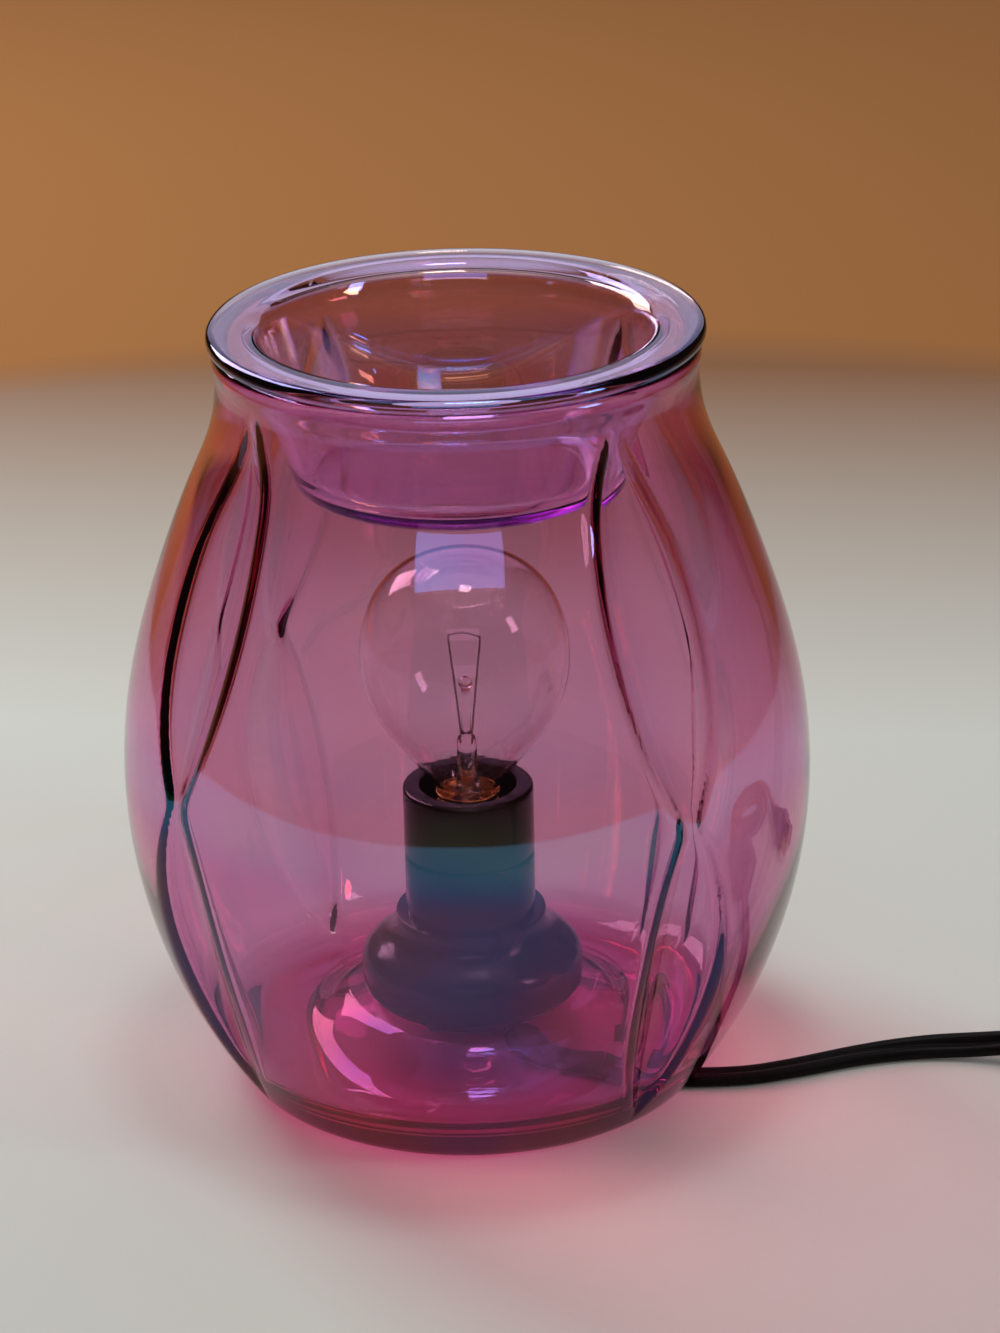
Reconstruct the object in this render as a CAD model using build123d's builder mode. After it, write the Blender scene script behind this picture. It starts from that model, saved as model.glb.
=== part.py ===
from build123d import *
import os
from math import asin, atan2, cos, pi, radians, sin, sqrt, tan

os.makedirs("parts", exist_ok=True)

# ---------------------------------------------------------------------------
# Electric wax warmer: a pinched glass jar with a bulb inside, and a glass dish
# that hangs in its mouth.  Millimetres, +Z up, origin at the centre of the
# foot.  The pinches lie between the axes, so the four lobes face +-X and +-Y.
# ---------------------------------------------------------------------------

# -- driving dimensions -----------------------------------------------------
belly_r = 72.5          # widest radius of the jar, on a lobe
belly_z = 68.0          # height of the widest place
lower_arc_r = 112.0     # radius of the barrel's lower side
shoulder_r = 63.4       # where the side leans in towards the neck
shoulder_z = 113.8
throat_r = 55.6
throat_z = 133.5
neck_r = 49.4
neck_z = 157.2
lip_r = 49.9            # bead round the mouth
lip_z0 = 159.4
lip_z1 = 163.0          # top of the jar, where the dish rests
foot_r = 45.0           # outer edge of the ring it stands on
foot_in_r = 36.0
foot_edge_z = 1.6       # height of the rounding over the foot
mouth_shift = 1.0       # the inside follows the outside this much lower
jar_wall = 3.0
neck_wall = 3.4
trough_z = 7.6          # top of the thick glass in the trough inside
trough_r = 38.5
trough_rise = 6.0       # height of the rounding from the trough to the wall

pinch_count = 4
pinch_r = 6.0           # radius of the tool that makes each pinch
pinch_depth = 4.2
pinch_z = 72.0          # height of their deepest place
pinch_arc_r = 171.0     # they are straighter than the barrel, so they fade out
pinch_reach = 24.0      # degrees of that arc, each way

punt_z = 14.5           # top of the raised middle of the base
punt_r = 26.0
punt_glass = 4.0
punt_edge = 2.5         # the raised middle rounds off over this radius
notch_angle = -20.0     # where the cord passes the foot
notch_ease = 9.4        # room beside the cord in that notch
notch_h = 4.6

# dish
flange_r = 50.8
flange_t = 3.0
dish_open_r = 40.2
dish_depth = 33.4       # from the top of the flange to the underside
dish_floor_r = 34.4     # outside radius at the bottom corner
dish_wall = 2.4
dish_floor_t = 2.8
dish_corner_r = 3.4

# lampholder
skirt_r = 24.0
skirt_band = 7.0
collar_wall = 2.2       # round the holder's foot
collar_z = 34.0
skirt_wall = 1.8
skirt_floor = 2.4
spigot_r = 10.0
spigot_bore_r = 7.5
hole_clear = 0.5
gasket_t = 1.0
nut_t = 3.8
nut_across = 29.0
nut_chamfer = 0.5
spigot_end_z = 4.9
holder_r = 13.95
holder_wall = 1.9
holder_foot_z = 30.0
holder_split_z = 47.8
holder_top_z = 63.3
holder_mouth_r = 10.2
holder_edge = 0.6       # rounding of the upper ring's edges
sleeve_fit = 0.05       # between parts pushed into each other
ledge_t = 2.0           # ledge in the skirt that the holder stands on
grip_t = 3.6            # cord grip
grip_land = 2.0         # width of the seat it rests on
carrier_z0 = 36.0
carrier_t = 6.5
screw_bore_r = 6.25
screw_sheet = 0.4
screw_len = 16.6
well_r = 3.1            # well in the carrier that the centre contact lies in
well_depth = 1.4
terminal_r = 8.6        # from the axis to each terminal screw
terminal_head_r = 2.1
terminal_head_t = 1.6
terminal_shank_r = 1.1
screw_slot_w = 0.6      # slots of all the screws
screw_slot_depth = 0.7
rivet_spot_r = 4.8
rivet_r = 0.9
rivet_t = 0.5
contact_w = 3.0         # centre contact
contact_t = 0.3
contact_half = 2.4
core_r = 1.15           # insulated conductor of the cord

# bulb, candelabra cap
globe_r = 22.2
globe_z = 94.0
neck_glass_r = 8.2      # glass at the holder's mouth
neck_glass_z = 65.0
glass_t = 0.6
cap_r = 5.95
cap_z0 = 47.3
cap_z1 = 61.0
cap_flare_r = 6.8
cap_sheet = 0.25
tip_z = 43.0
tip_r = 2.3
tip_t = 1.5
tip_dome = 0.8
cap_flare = 1.6         # height over which the cap widens
cap_rim = 1.0           # straight rim over that
neck_lap = 6.0          # from the cap's lower edge to the glass in it
insulator_lip = 0.4
insulator_lap = 1.5
stem_foot_t = 1.5       # foot of the glass stem, sealed to the neck
stem_r = 1.9            # stem at the press
stem_rod_r = 1.0        # rod over the press
stem_button_r = 1.5
press_z = 73.5
stem_top_z = 87.5
wire_r = 0.28
lead_out = 3.4          # from the axis to each end of the filament
lead_top_z = 96.5
filament_heading = -6.0
filament_r = 0.31
filament_rise = 0.8

# flat twin cord
cord_w = 5.6
cord_t = 2.8
cord_round = cord_t / 2 - 0.01
tail_heading = -32.0
tail_bend_r = 8.0
tail_z = 1.7            # height of the cord's middle where it leaves the jar
tail_points = [(20.0, -12.5), (33.9, -16.3), (47.8, -15.1)]

free_points = [
    (47.8, -15.1, tail_z), (58.2, -14.2, 1.5), (70.2, -9.4, 1.5), (84.4, -2.6, 1.6),
    (97.5, 0.6, 2.0), (110.5, 0.2, 3.0), (125.8, -3.4, 7.0), (138.0, -3.4, 7.0),
]

# in-line switch
switch_len = 56.0
switch_w = 24.0
switch_h = 16.5
switch_split = free_points[-1][2]
switch_wall = 1.8
switch_corner = 5.0
cover_round = 2.0
floor_t = 1.6
screw_x = 20.5          # screws that hold the cover
screw_y = 7.2
boss_r = 2.6
screw_r = 1.1
screw_head_r = 2.2
screw_head_t = 1.4
cover_screw_len = 11.5
rib_x = 22.0            # ribs that grip the cord
rib_t = 1.6
rib_w = 7.6
stop_t = 1.2            # stop under the see-saw
stop_w = 4.0
cheek_t = 1.5           # cheeks that hold the rocker's pin
cheek_w = 5.6
rocker_half = 7.4
rocker_w = 8.6
rocker_clear = 0.5
rocker_tilt = 10.0
rocker_pivot_z = 12.9
rocker_hub_r = 3.0
rocker_end_r = 7.6      # the ends are round about the pivot
rocker_rise = 4.4       # top of the rocker's ends over its pivot
rocker_flank_z = 2.6
rocker_heel_z = 0.8
rocker_dip = 0.9        # hollow of the rocker's top
rocker_stem_r = 2.3     # sleeve under the rocker for the plunger
rocker_stem_low = 4.6
plunger_bore_r = 1.35
plunger_r = 1.2
plunger_top = 3.9       # under the pivot
plunger_dome = 1.0
spring_r = 1.05
spring_wire = 0.22
spring_pitch = 0.62
spring_len = 1.75
pin_r = 1.0
pin_fit = 0.05
pin_wall = 0.6          # over the pin's hole
seesaw_tilt = 5.0
seesaw_t = 0.6
seesaw_z = 6.2          # top of the see-saw plate over its fulcrum
seesaw_half = 6.5
seesaw_w = 4.0
contact_in = 1.2        # contacts sit this far in from the see-saw's ends
contact_r = 1.1
contact_bump = 0.4
strip_t = 0.6           # terminal strips
common_w = 2.4
common_y = 3.8
load_w = 3.2
eye_r = 2.2             # rings of the strips round their screws
fulcrum_t = 0.8
fulcrum_w = 7.0
clamp_r = 1.9           # heads of the terminal screws
clamp_t = 1.5
clamp_slot_w = 0.5
stub_end = 17.0         # the cord's jacket ends here
lane_y = 6.0            # conductor that passes the see-saw
lane_z = 4.4
lane_x = 9.0
screw_sink = 0.1        # the cover screws' heads lie this much inside
gap = 0.3               # air between pieces that move on each other
over = 1.0              # how far a cutting shape runs past the face it cuts
terminal_x = 13.5

# coil of put-away cord, held by a tie
coil_mid_r = 30.3
coil_layers = 4
tie_t = 0.6
tie_w = 8.0
tie_ease = 0.6          # the straight tie spans the round coil
coil_lead = 40.0        # from the switch to the coil's centre, along the cord
plug_lead = 44.0        # from the coil's centre to the plug's strain relief

# plug
relief_len = 18.0
plug_len = 26.0
plug_w = 21.0
plug_h = 11.0
plug_round = 4.0
plug_head = 9.0         # straight part behind the face
plug_tail_w = 13.0
plug_tail_h = 10.0
plug_tail_round = 3.6
plug_step = 2.5         # from the body down to the strain relief
relief_w = 7.2
relief_h = 4.4
relief_lap = 3.0        # the strain relief reaches this far over the cord
edge_round = 1.0
blade_len = 16.8
blade_t = 1.5
blade_w = 6.4
neutral_blade_w = 7.9
blade_pitch = 12.7


# -- helpers ----------------------------------------------------------------
def save(part, name):
    part.label = name
    export_step(part, f"parts/{name}.step")


def corner_radii(points):
    """Largest smooth radius at each inner point of a route."""
    vectors = [Vector(*point) for point in points]
    radii = []
    for before, here, after in zip(vectors, vectors[1:], vectors[2:]):
        turn = (here - before).get_angle(after - here)
        run = min((here - before).length, (after - here).length)
        radii.append(0.45 * run / tan(radians(turn / 2)))
    return radii


def add_tube(points, width_dir, name):
    """Flat twin cord along a route; width_dir is the way its wide side lies."""
    radii = corner_radii(points)
    print(name, "radii", [round(radius, 1) for radius in radii])
    start = Vector(*points[0])
    with BuildLine() as route:
        FilletPolyline(*points, radius=radii)
    length = sum(edge.length for edge in route.line.edges())
    heading = Vector(*points[1]) - start
    with BuildSketch(Plane(origin=start, x_dir=width_dir, z_dir=heading)) as section:
        RectangleRounded(cord_w, cord_t, cord_round)
    area = section.sketch.area
    sweep(section.sketch, path=route.line)
    print(name, "length", round(length, 1), "section x length", round(area * length, 1))


def dome(edge_r, edge_z, top_z):
    """Arc in the XZ plane from an edge to the axis, square to the axis there."""
    rise = top_z - edge_z
    ball_r = (edge_r**2 + rise**2) / (2 * abs(rise))
    half = asin(edge_r / ball_r) / 2
    side = 1 if rise > 0 else -1
    middle = (ball_r * sin(half), top_z - side * (ball_r - ball_r * cos(half)))
    ThreePointArc((edge_r, edge_z), middle, (0, top_z))


# ---------------------------------------------------------------------------
# Glass jar
# ---------------------------------------------------------------------------
foot_edge_r = belly_r - lower_arc_r + sqrt(lower_arc_r**2 - (belly_z - foot_edge_z) ** 2)
inner_arc_r = lower_arc_r - jar_wall
wall_foot_z = trough_z + trough_rise
wall_foot_r = belly_r - lower_arc_r + sqrt(inner_arc_r**2 - (belly_z - wall_foot_z) ** 2)
mouth_r = neck_r - neck_wall
punt_under_z = punt_z - punt_glass
hole_r = spigot_r + hole_clear
notch_w = cord_w + notch_ease

with BuildPart() as jar_outside:
    with BuildSketch(Plane.XZ):
        with BuildLine():
            Line((0, 0), (foot_r, 0))
            Spline((foot_r, 0), (foot_edge_r, foot_edge_z), tangents=[(1, 0), (0.55, 0.83)])
            RadiusArc((foot_edge_r, foot_edge_z), (belly_r, belly_z), -lower_arc_r)
            Spline((belly_r, belly_z), (shoulder_r, shoulder_z), (throat_r, throat_z),
                   (neck_r, neck_z), tangents=[(0, 1), (0, 1)])
            Polyline((neck_r, neck_z), (neck_r, lip_z0), (lip_r, lip_z0), (lip_r, lip_z1),
                     (0, lip_z1), (0, 0))
        make_face()
    revolve(axis=Axis.Z)

with BuildPart() as jar_inside:
    with BuildSketch(Plane.XZ):
        with BuildLine():
            Line((0, punt_z), (punt_r - punt_edge, punt_z))
            Spline((punt_r - punt_edge, punt_z), (trough_r - 3, trough_z + 0.8), (trough_r, trough_z),
                   (wall_foot_r, wall_foot_z), tangents=[(1, 0), (0.35, 1)])
            RadiusArc((wall_foot_r, wall_foot_z), (belly_r - jar_wall, belly_z), -inner_arc_r)
            Spline((belly_r - jar_wall, belly_z), (shoulder_r - jar_wall, shoulder_z - mouth_shift),
                   (throat_r - jar_wall, throat_z - mouth_shift), (mouth_r, neck_z - mouth_shift),
                   tangents=[(0, 1), (0, 1)])
            Polyline((mouth_r, neck_z - mouth_shift), (mouth_r, lip_z1 + over), (0, lip_z1 + over),
                     (0, punt_z))
        make_face()
    revolve(axis=Axis.Z)

# The pinches: one in each diagonal plane, pressed in along an arc.
pinch_track_r = belly_r - pinch_depth + pinch_r
pinch_angles = [180 / pinch_count + 360 / pinch_count * number for number in range(pinch_count)]


def pinch_tool(radius, angle):
    """Bent bar of the given section radius that presses one pinch into the wall."""
    out = Vector(cos(radians(angle)), sin(radians(angle)), 0)
    centre = out * (pinch_track_r - pinch_arc_r) + Vector(0, 0, pinch_z)
    with BuildPart() as tool:
        with BuildLine(Plane(origin=centre, x_dir=out, z_dir=(out.Y, -out.X, 0))) as track:
            CenterArc((0, 0), pinch_arc_r, -pinch_reach, 2 * pinch_reach)
        with BuildSketch(Plane(origin=track.line @ 0, z_dir=track.line % 0)):
            Circle(radius)
        sweep(path=track.line)
    return tool.part


with BuildPart() as jar_cavity:
    add(jar_inside.part)
    add([pinch_tool(pinch_r + jar_wall, angle) for angle in pinch_angles], mode=Mode.SUBTRACT)

with BuildPart() as glass_jar:
    add(jar_outside.part)
    add([pinch_tool(pinch_r, angle) for angle in pinch_angles], mode=Mode.SUBTRACT)
    add(jar_cavity.part, mode=Mode.SUBTRACT)
    with BuildSketch(Plane.XZ):
        with BuildLine():
            Polyline((0, -over), (foot_in_r, -over), (foot_in_r, foot_edge_z),
                     (punt_r - punt_edge, punt_under_z), (0, punt_under_z), (0, -over))
        make_face()
    revolve(axis=Axis.Z, mode=Mode.SUBTRACT)
    with BuildSketch(Plane.XY):
        Circle(hole_r)
    extrude(amount=punt_z + over, mode=Mode.SUBTRACT)
    notch_dir = (cos(radians(notch_angle)), sin(radians(notch_angle)), 0)
    with BuildSketch(Plane(origin=(0, 0, 0), x_dir=(notch_dir[1], -notch_dir[0], 0), z_dir=notch_dir)):
        SlotOverall(notch_w, 2 * notch_h)
    extrude(amount=belly_r, mode=Mode.SUBTRACT)
save(glass_jar.part, "glass_jar")

# ---------------------------------------------------------------------------
# Wax dish
# ---------------------------------------------------------------------------
dish_top_z = lip_z1 + flange_t
dish_low_z = dish_top_z - dish_depth
dish_floor_z = dish_low_z + dish_floor_t
dish_floor_in_r = dish_floor_r - dish_wall
cup_top_r = dish_open_r + dish_wall

with BuildPart() as wax_dish:
    with BuildSketch(Plane.XZ):
        with BuildLine():
            Polyline((0, dish_low_z), (dish_floor_r, dish_low_z), (cup_top_r, lip_z1), (flange_r, lip_z1),
                     (flange_r, dish_top_z), (dish_open_r, dish_top_z),
                     (dish_floor_in_r, dish_floor_z), (0, dish_floor_z), (0, dish_low_z))
        dish_face = make_face()
        outer_corner = dish_face.vertices().sort_by_distance((dish_floor_r, dish_low_z))[0]
        fillet(outer_corner, dish_corner_r)
        inner_corner = dish_face.vertices().sort_by_distance((dish_floor_in_r, dish_floor_z))[0]
        fillet(inner_corner, dish_corner_r - dish_wall / 2)
    revolve(axis=Axis.Z)
    rims = wax_dish.edges().filter_by(GeomType.CIRCLE).group_by(Axis.Z)[-1]
    fillet(rims, flange_t * 0.32)
save(wax_dish.part, "wax_dish")

# ---------------------------------------------------------------------------
# Lampholder: skirt, gaskets, nut, grip, shells, carrier and contacts
# ---------------------------------------------------------------------------
skirt_z = punt_z + gasket_t
band_top_z = skirt_z + skirt_band
skirt_floor_z = skirt_z + skirt_floor
skirt_in_r = skirt_r - skirt_wall
collar_in_r = holder_r + sleeve_fit
collar_r = collar_in_r + collar_wall
ledge_r = collar_in_r - skirt_wall
ledge_z = holder_foot_z - ledge_t
collar_foot_z = collar_z - ledge_t

with BuildPart() as holder_skirt:
    with BuildSketch(Plane.XZ):
        with BuildLine():
            Polyline((spigot_bore_r, spigot_end_z), (spigot_r, spigot_end_z), (spigot_r, skirt_z),
                     (skirt_r, skirt_z), (skirt_r, band_top_z))
            Spline((skirt_r, band_top_z), (collar_r, collar_foot_z), tangents=[(-0.1, 1), (-0.12, 1)])
            Polyline((collar_r, collar_foot_z), (collar_r, collar_z), (collar_in_r, collar_z),
                     (collar_in_r, holder_foot_z), (ledge_r, holder_foot_z), (ledge_r, ledge_z))
            Spline((ledge_r, ledge_z), (skirt_in_r, band_top_z - skirt_wall / 2),
                   tangents=[(0.75, -0.66), (0, -1)])
            Polyline((skirt_in_r, band_top_z - skirt_wall / 2), (skirt_in_r, skirt_floor_z),
                     (spigot_bore_r, skirt_floor_z), (spigot_bore_r, spigot_end_z))
        make_face()
    revolve(axis=Axis.Z)
save(holder_skirt.part, "holder_skirt")

with BuildPart() as upper_gasket:
    with BuildSketch(Plane.XY.offset(punt_z)):
        Circle(skirt_r - gasket_t)
        Circle(hole_r, mode=Mode.SUBTRACT)
    extrude(amount=gasket_t)
save(upper_gasket.part, "upper_gasket")

with BuildPart() as lower_gasket:
    with BuildSketch(Plane.XY.offset(punt_under_z - gasket_t)):
        Circle(nut_across / 2)
        Circle(hole_r, mode=Mode.SUBTRACT)
    extrude(amount=gasket_t)
save(lower_gasket.part, "lower_gasket")

with BuildPart() as ring_nut:
    with BuildSketch(Plane.XY.offset(punt_under_z - gasket_t - nut_t)):
        RegularPolygon(nut_across / 2, 6, major_radius=False)
        Circle(spigot_r, mode=Mode.SUBTRACT)
    extrude(amount=nut_t)
    chamfer(ring_nut.faces().sort_by(Axis.Z)[0].outer_wire().edges(), nut_chamfer)
save(ring_nut.part, "ring_nut")

tail_dir = Vector(cos(radians(tail_heading)), sin(radians(tail_heading)), 0)
tail_side = Vector(-tail_dir.Y, tail_dir.X, 0)
with BuildPart() as cord_grip:
    with BuildSketch(Plane(origin=(0, 0, skirt_floor_z), x_dir=tail_side, z_dir=(0, 0, 1))):
        Circle(spigot_bore_r + grip_land)
        SlotOverall(cord_w, cord_t, mode=Mode.SUBTRACT)
    extrude(amount=grip_t)
    top_edges = cord_grip.edges().filter_by(GeomType.CIRCLE).group_by(Axis.Z)[-1]
    chamfer(top_edges.sort_by(SortBy.LENGTH)[-1], nut_chamfer)
save(cord_grip.part, "cord_grip")

holder_in_r = holder_r - holder_wall
with BuildPart() as holder_body:
    with BuildSketch(Plane.XZ):
        with BuildLine():
            Polyline((holder_in_r, holder_foot_z), (holder_r, holder_foot_z), (holder_r, holder_split_z),
                     (holder_in_r, holder_split_z), (holder_in_r, holder_foot_z))
        make_face()
    revolve(axis=Axis.Z)
save(holder_body.part, "holder_body")

with BuildPart() as holder_ring:
    with BuildSketch(Plane.XZ):
        with BuildLine():
            Polyline((holder_in_r, holder_split_z), (holder_r - holder_edge, holder_split_z),
                     (holder_r, holder_split_z + holder_edge), (holder_r, holder_top_z - holder_edge),
                     (holder_r - holder_edge, holder_top_z), (holder_mouth_r, holder_top_z),
                     (holder_mouth_r, holder_top_z - holder_wall),
                     (holder_in_r, holder_top_z - holder_wall), (holder_in_r, holder_split_z))
        make_face()
    revolve(axis=Axis.Z)
save(holder_ring.part, "holder_ring")

carrier_r = holder_in_r - sleeve_fit
carrier_z1 = carrier_z0 + carrier_t
well_z = carrier_z1 - well_depth
screw_out_r = screw_bore_r + screw_sheet
terminals = [tail_side * side * terminal_r for side in (-1, 1)]

with BuildPart() as contact_carrier:
    with BuildSketch(Plane.XY.offset(carrier_z0)):
        Circle(carrier_r)
        with Locations([(spot.X, spot.Y) for spot in terminals]):
            Circle(terminal_shank_r, mode=Mode.SUBTRACT)
    extrude(amount=carrier_t)
    with BuildSketch(Plane.XY.offset(carrier_z1)):
        Circle(well_r)
    extrude(amount=-well_depth, mode=Mode.SUBTRACT)
save(contact_carrier.part, "contact_carrier")

with BuildPart() as screw_shell:
    with BuildSketch(Plane.XY.offset(carrier_z1)):
        Circle(screw_out_r)
        Circle(well_r + gap, mode=Mode.SUBTRACT)
    extrude(amount=screw_sheet)
    with BuildSketch(Plane.XY.offset(carrier_z1)):
        Circle(screw_out_r)
        Circle(screw_bore_r, mode=Mode.SUBTRACT)
    extrude(amount=screw_len)
save(screw_shell.part, "screw_shell")

with BuildPart() as shell_rivets:
    for spot in (tail_dir * rivet_spot_r, tail_dir * -rivet_spot_r):
        with BuildSketch(Plane.XY.offset(carrier_z1 + screw_sheet)):
            with Locations((spot.X, spot.Y)):
                Circle(rivet_r)
        extrude(amount=rivet_t)
save(shell_rivets.part, "shell_rivets")

tongue_z = tip_z - gap
with BuildPart() as centre_contact:
    with BuildSketch(Plane.XZ.offset(-contact_w / 2)):
        with BuildLine():
            Polyline((-contact_half, well_z), (contact_half, well_z), (contact_half, well_z + contact_t),
                     (1 - contact_half, well_z + contact_t), (contact_half / 2, tongue_z - contact_t / 2),
                     (contact_half / 2 - contact_t, tongue_z), (-contact_half, well_z + 1.5 * contact_t),
                     (-contact_half, well_z))
        make_face()
    extrude(amount=contact_w)
save(centre_contact.part, "centre_contact")

with BuildPart() as terminal_screws:
    for spot in terminals:
        with BuildSketch(Plane.XY.offset(carrier_z0 - terminal_head_t)):
            with Locations((spot.X, spot.Y)):
                Circle(terminal_head_r)
        extrude(amount=terminal_head_t)
        with BuildSketch(Plane.XY.offset(carrier_z0)):
            with Locations((spot.X, spot.Y)):
                Circle(terminal_shank_r)
        extrude(amount=carrier_t - screw_slot_w)
        with BuildSketch(Plane.XY.offset(carrier_z0 - terminal_head_t)):
            with Locations((spot.X, spot.Y)):
                Rectangle(2 * terminal_head_r, screw_slot_w)
        extrude(amount=screw_slot_depth, mode=Mode.SUBTRACT)
save(terminal_screws.part, "terminal_screws")

cores_z = skirt_floor_z + grip_t + 3.0
with BuildPart() as lead_cores:
    for side in (-1, 1):
        begin = tail_side * side * (cord_w / 4)
        reach = tail_side * side * (terminal_r - terminal_head_r - core_r)
        core_points = [
            (begin.X, begin.Y, cores_z), (begin.X, begin.Y, cores_z + 2 * core_r),
            (reach.X * 0.9, reach.Y * 0.9, cores_z + 5 * core_r), (reach.X, reach.Y, carrier_z0),
        ]
        with BuildLine() as core_route:
            Spline(*core_points, tangents=[(0, 0, 1), (0, 0, 1)])
        with BuildSketch(Plane(origin=core_points[0], z_dir=(0, 0, 1))):
            Circle(core_r)
        sweep(path=core_route.line)
save(lead_cores.part, "lead_cores")

# The cord that the warmer holds: down through grip and spigot, round under the
# nut, and out through the notch.  A quarter bend, then the run on the table.
bend_z = tail_z + tail_bend_r
tail_start = tail_dir * tail_bend_r
flat_points = [(tail_start.X, tail_start.Y, tail_z)] + [(x, y, tail_z) for x, y in tail_points]
with BuildPart() as cord_tail:
    with BuildSketch(Plane(origin=(0, 0, bend_z), x_dir=tail_side, z_dir=(0, 0, 1))):
        RectangleRounded(cord_w, cord_t, cord_round)
    extrude(amount=cores_z - bend_z)
    with BuildSketch(Plane(origin=(0, 0, bend_z), x_dir=tail_side, z_dir=(0, 0, -1))):
        RectangleRounded(cord_w, cord_t, cord_round)
    bend_centre = tail_dir * tail_bend_r + Vector(0, 0, bend_z)
    revolve(axis=Axis(bend_centre, tail_side * -1), revolution_arc=90)
    add_tube(flat_points, tail_side, "cord_tail")
save(cord_tail.part, "cord_tail")

# ---------------------------------------------------------------------------
# Bulb
# ---------------------------------------------------------------------------
cone_reach = sqrt((globe_z - neck_glass_z) ** 2 + neck_glass_r**2)
cone_turn = atan2(neck_glass_r, globe_z - neck_glass_z)
tangent_turn = atan2(sqrt(cone_reach**2 - globe_r**2), globe_r) + cone_turn
touch = (globe_r * sin(tangent_turn), globe_z - globe_r * cos(tangent_turn))
neck_in_cap_r = cap_r - cap_sheet - sleeve_fit
neck_end_z = cap_z0 + neck_lap
stem_foot_r = neck_in_cap_r - glass_t


def bulb_outline(skin):
    """Half outline of the glass, drawn in by skin."""
    reach = globe_r - skin
    touch_r = reach * sin(tangent_turn)
    touch_z = globe_z - reach * cos(tangent_turn)
    cone_r = neck_glass_r - skin * 1.1
    Line((0, neck_end_z), (neck_in_cap_r - skin, neck_end_z))
    Line((neck_in_cap_r - skin, neck_end_z), (neck_in_cap_r - skin, cap_z1))
    slope = Vector(touch_r - cone_r, touch_z - neck_glass_z)
    Spline((neck_in_cap_r - skin, cap_z1), (cone_r, neck_glass_z), tangents=[(0, 1), slope])
    Line((cone_r, neck_glass_z), (touch_r, touch_z))
    middle = (tangent_turn + pi) / 2
    ThreePointArc((touch_r, touch_z), (reach * sin(middle), globe_z - reach * cos(middle)),
                  (0, globe_z + reach))
    Line((0, globe_z + reach), (0, neck_end_z))


with BuildPart() as bulb_glass:
    with BuildSketch(Plane.XZ):
        with BuildLine():
            bulb_outline(0)
        make_face()
        with BuildLine():
            bulb_outline(glass_t)
        make_face(mode=Mode.SUBTRACT)
        with Locations((0, neck_end_z)):
            Rectangle(2 * stem_foot_r, 2 * over, mode=Mode.SUBTRACT)
    revolve(axis=Axis.Z)
save(bulb_glass.part, "bulb_glass")

cap_in_r = cap_r - cap_sheet
flare_in_r = cap_flare_r - cap_sheet
with BuildPart() as bulb_cap:
    with BuildSketch(Plane.XZ):
        with BuildLine():
            Polyline((cap_r, cap_z0), (cap_r, cap_z1 - cap_flare), (cap_flare_r, cap_z1),
                     (cap_flare_r, cap_z1 + cap_rim), (flare_in_r, cap_z1 + cap_rim), (flare_in_r, cap_z1),
                     (cap_in_r, cap_z1 - cap_flare), (cap_in_r, cap_z0), (cap_r, cap_z0))
        make_face()
    revolve(axis=Axis.Z)
save(bulb_cap.part, "bulb_cap")

tip_top_z = tip_z + tip_t
with BuildPart() as cap_insulator:
    with BuildSketch(Plane.XZ):
        with BuildLine():
            Polyline((0, tip_top_z), (tip_r, tip_top_z), (cap_in_r - insulator_lip, cap_z0 - insulator_lip),
                     (cap_in_r, cap_z0), (cap_in_r, cap_z0 + insulator_lap), (0, cap_z0 + insulator_lap),
                     (0, tip_top_z))
        make_face()
    revolve(axis=Axis.Z)
save(cap_insulator.part, "cap_insulator")

with BuildPart() as tip_contact:
    with BuildSketch(Plane.XZ):
        with BuildLine():
            Polyline((0, tip_z), (0, tip_top_z), (tip_r, tip_top_z), (tip_r, tip_z + tip_dome))
            dome(tip_r, tip_z + tip_dome, tip_z)
        make_face()
    revolve(axis=Axis.Z)
save(tip_contact.part, "tip_contact")

stem_foot_z = neck_end_z + over
button_z = stem_top_z - stem_button_r
with BuildPart() as bulb_stem:
    with BuildSketch(Plane.XZ):
        with BuildLine():
            Polyline((0, stem_foot_z), (stem_foot_r, stem_foot_z), (stem_foot_r, stem_foot_z + stem_foot_t))
            Spline((stem_foot_r, stem_foot_z + stem_foot_t), (stem_r * 1.2, stem_foot_z + 5 * stem_foot_t),
                   (stem_r, press_z), tangents=[(-0.2, 1), (0, 1)])
            Polyline((stem_r, press_z), (stem_rod_r, press_z + stem_r - stem_rod_r),
                     (stem_rod_r, button_z), (stem_button_r, button_z))
            dome(stem_button_r, button_z, stem_top_z)
            Line((0, stem_top_z), (0, stem_foot_z))
        make_face()
    revolve(axis=Axis.Z)
save(bulb_stem.part, "bulb_stem")

filament_dir = Vector(cos(radians(filament_heading)), sin(radians(filament_heading)), 0)
with BuildPart() as lead_wires:
    for side in (-1, 1):
        low = filament_dir * side * stem_rod_r + Vector(0, 0, press_z - over)
        knee = filament_dir * side * (stem_rod_r + wire_r) + Vector(0, 0, press_z + over)
        high = filament_dir * side * lead_out + Vector(0, 0, lead_top_z)
        with BuildLine() as wire_route:
            Polyline(low, knee, high)
        with BuildSketch(Plane(origin=low, z_dir=knee - low)):
            Circle(wire_r)
        sweep(path=wire_route.line, transition=Transition.ROUND)
save(lead_wires.part, "lead_wires")

with BuildPart() as filament:
    with BuildLine() as filament_route:
        ThreePointArc(filament_dir * -lead_out + Vector(0, 0, lead_top_z),
                      Vector(0, 0, lead_top_z + filament_rise),
                      filament_dir * lead_out + Vector(0, 0, lead_top_z))
    with BuildSketch(Plane(origin=filament_route.line @ 0, z_dir=filament_route.line % 0)):
        Circle(filament_r)
    sweep(path=filament_route.line)
save(filament.part, "filament")

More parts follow.
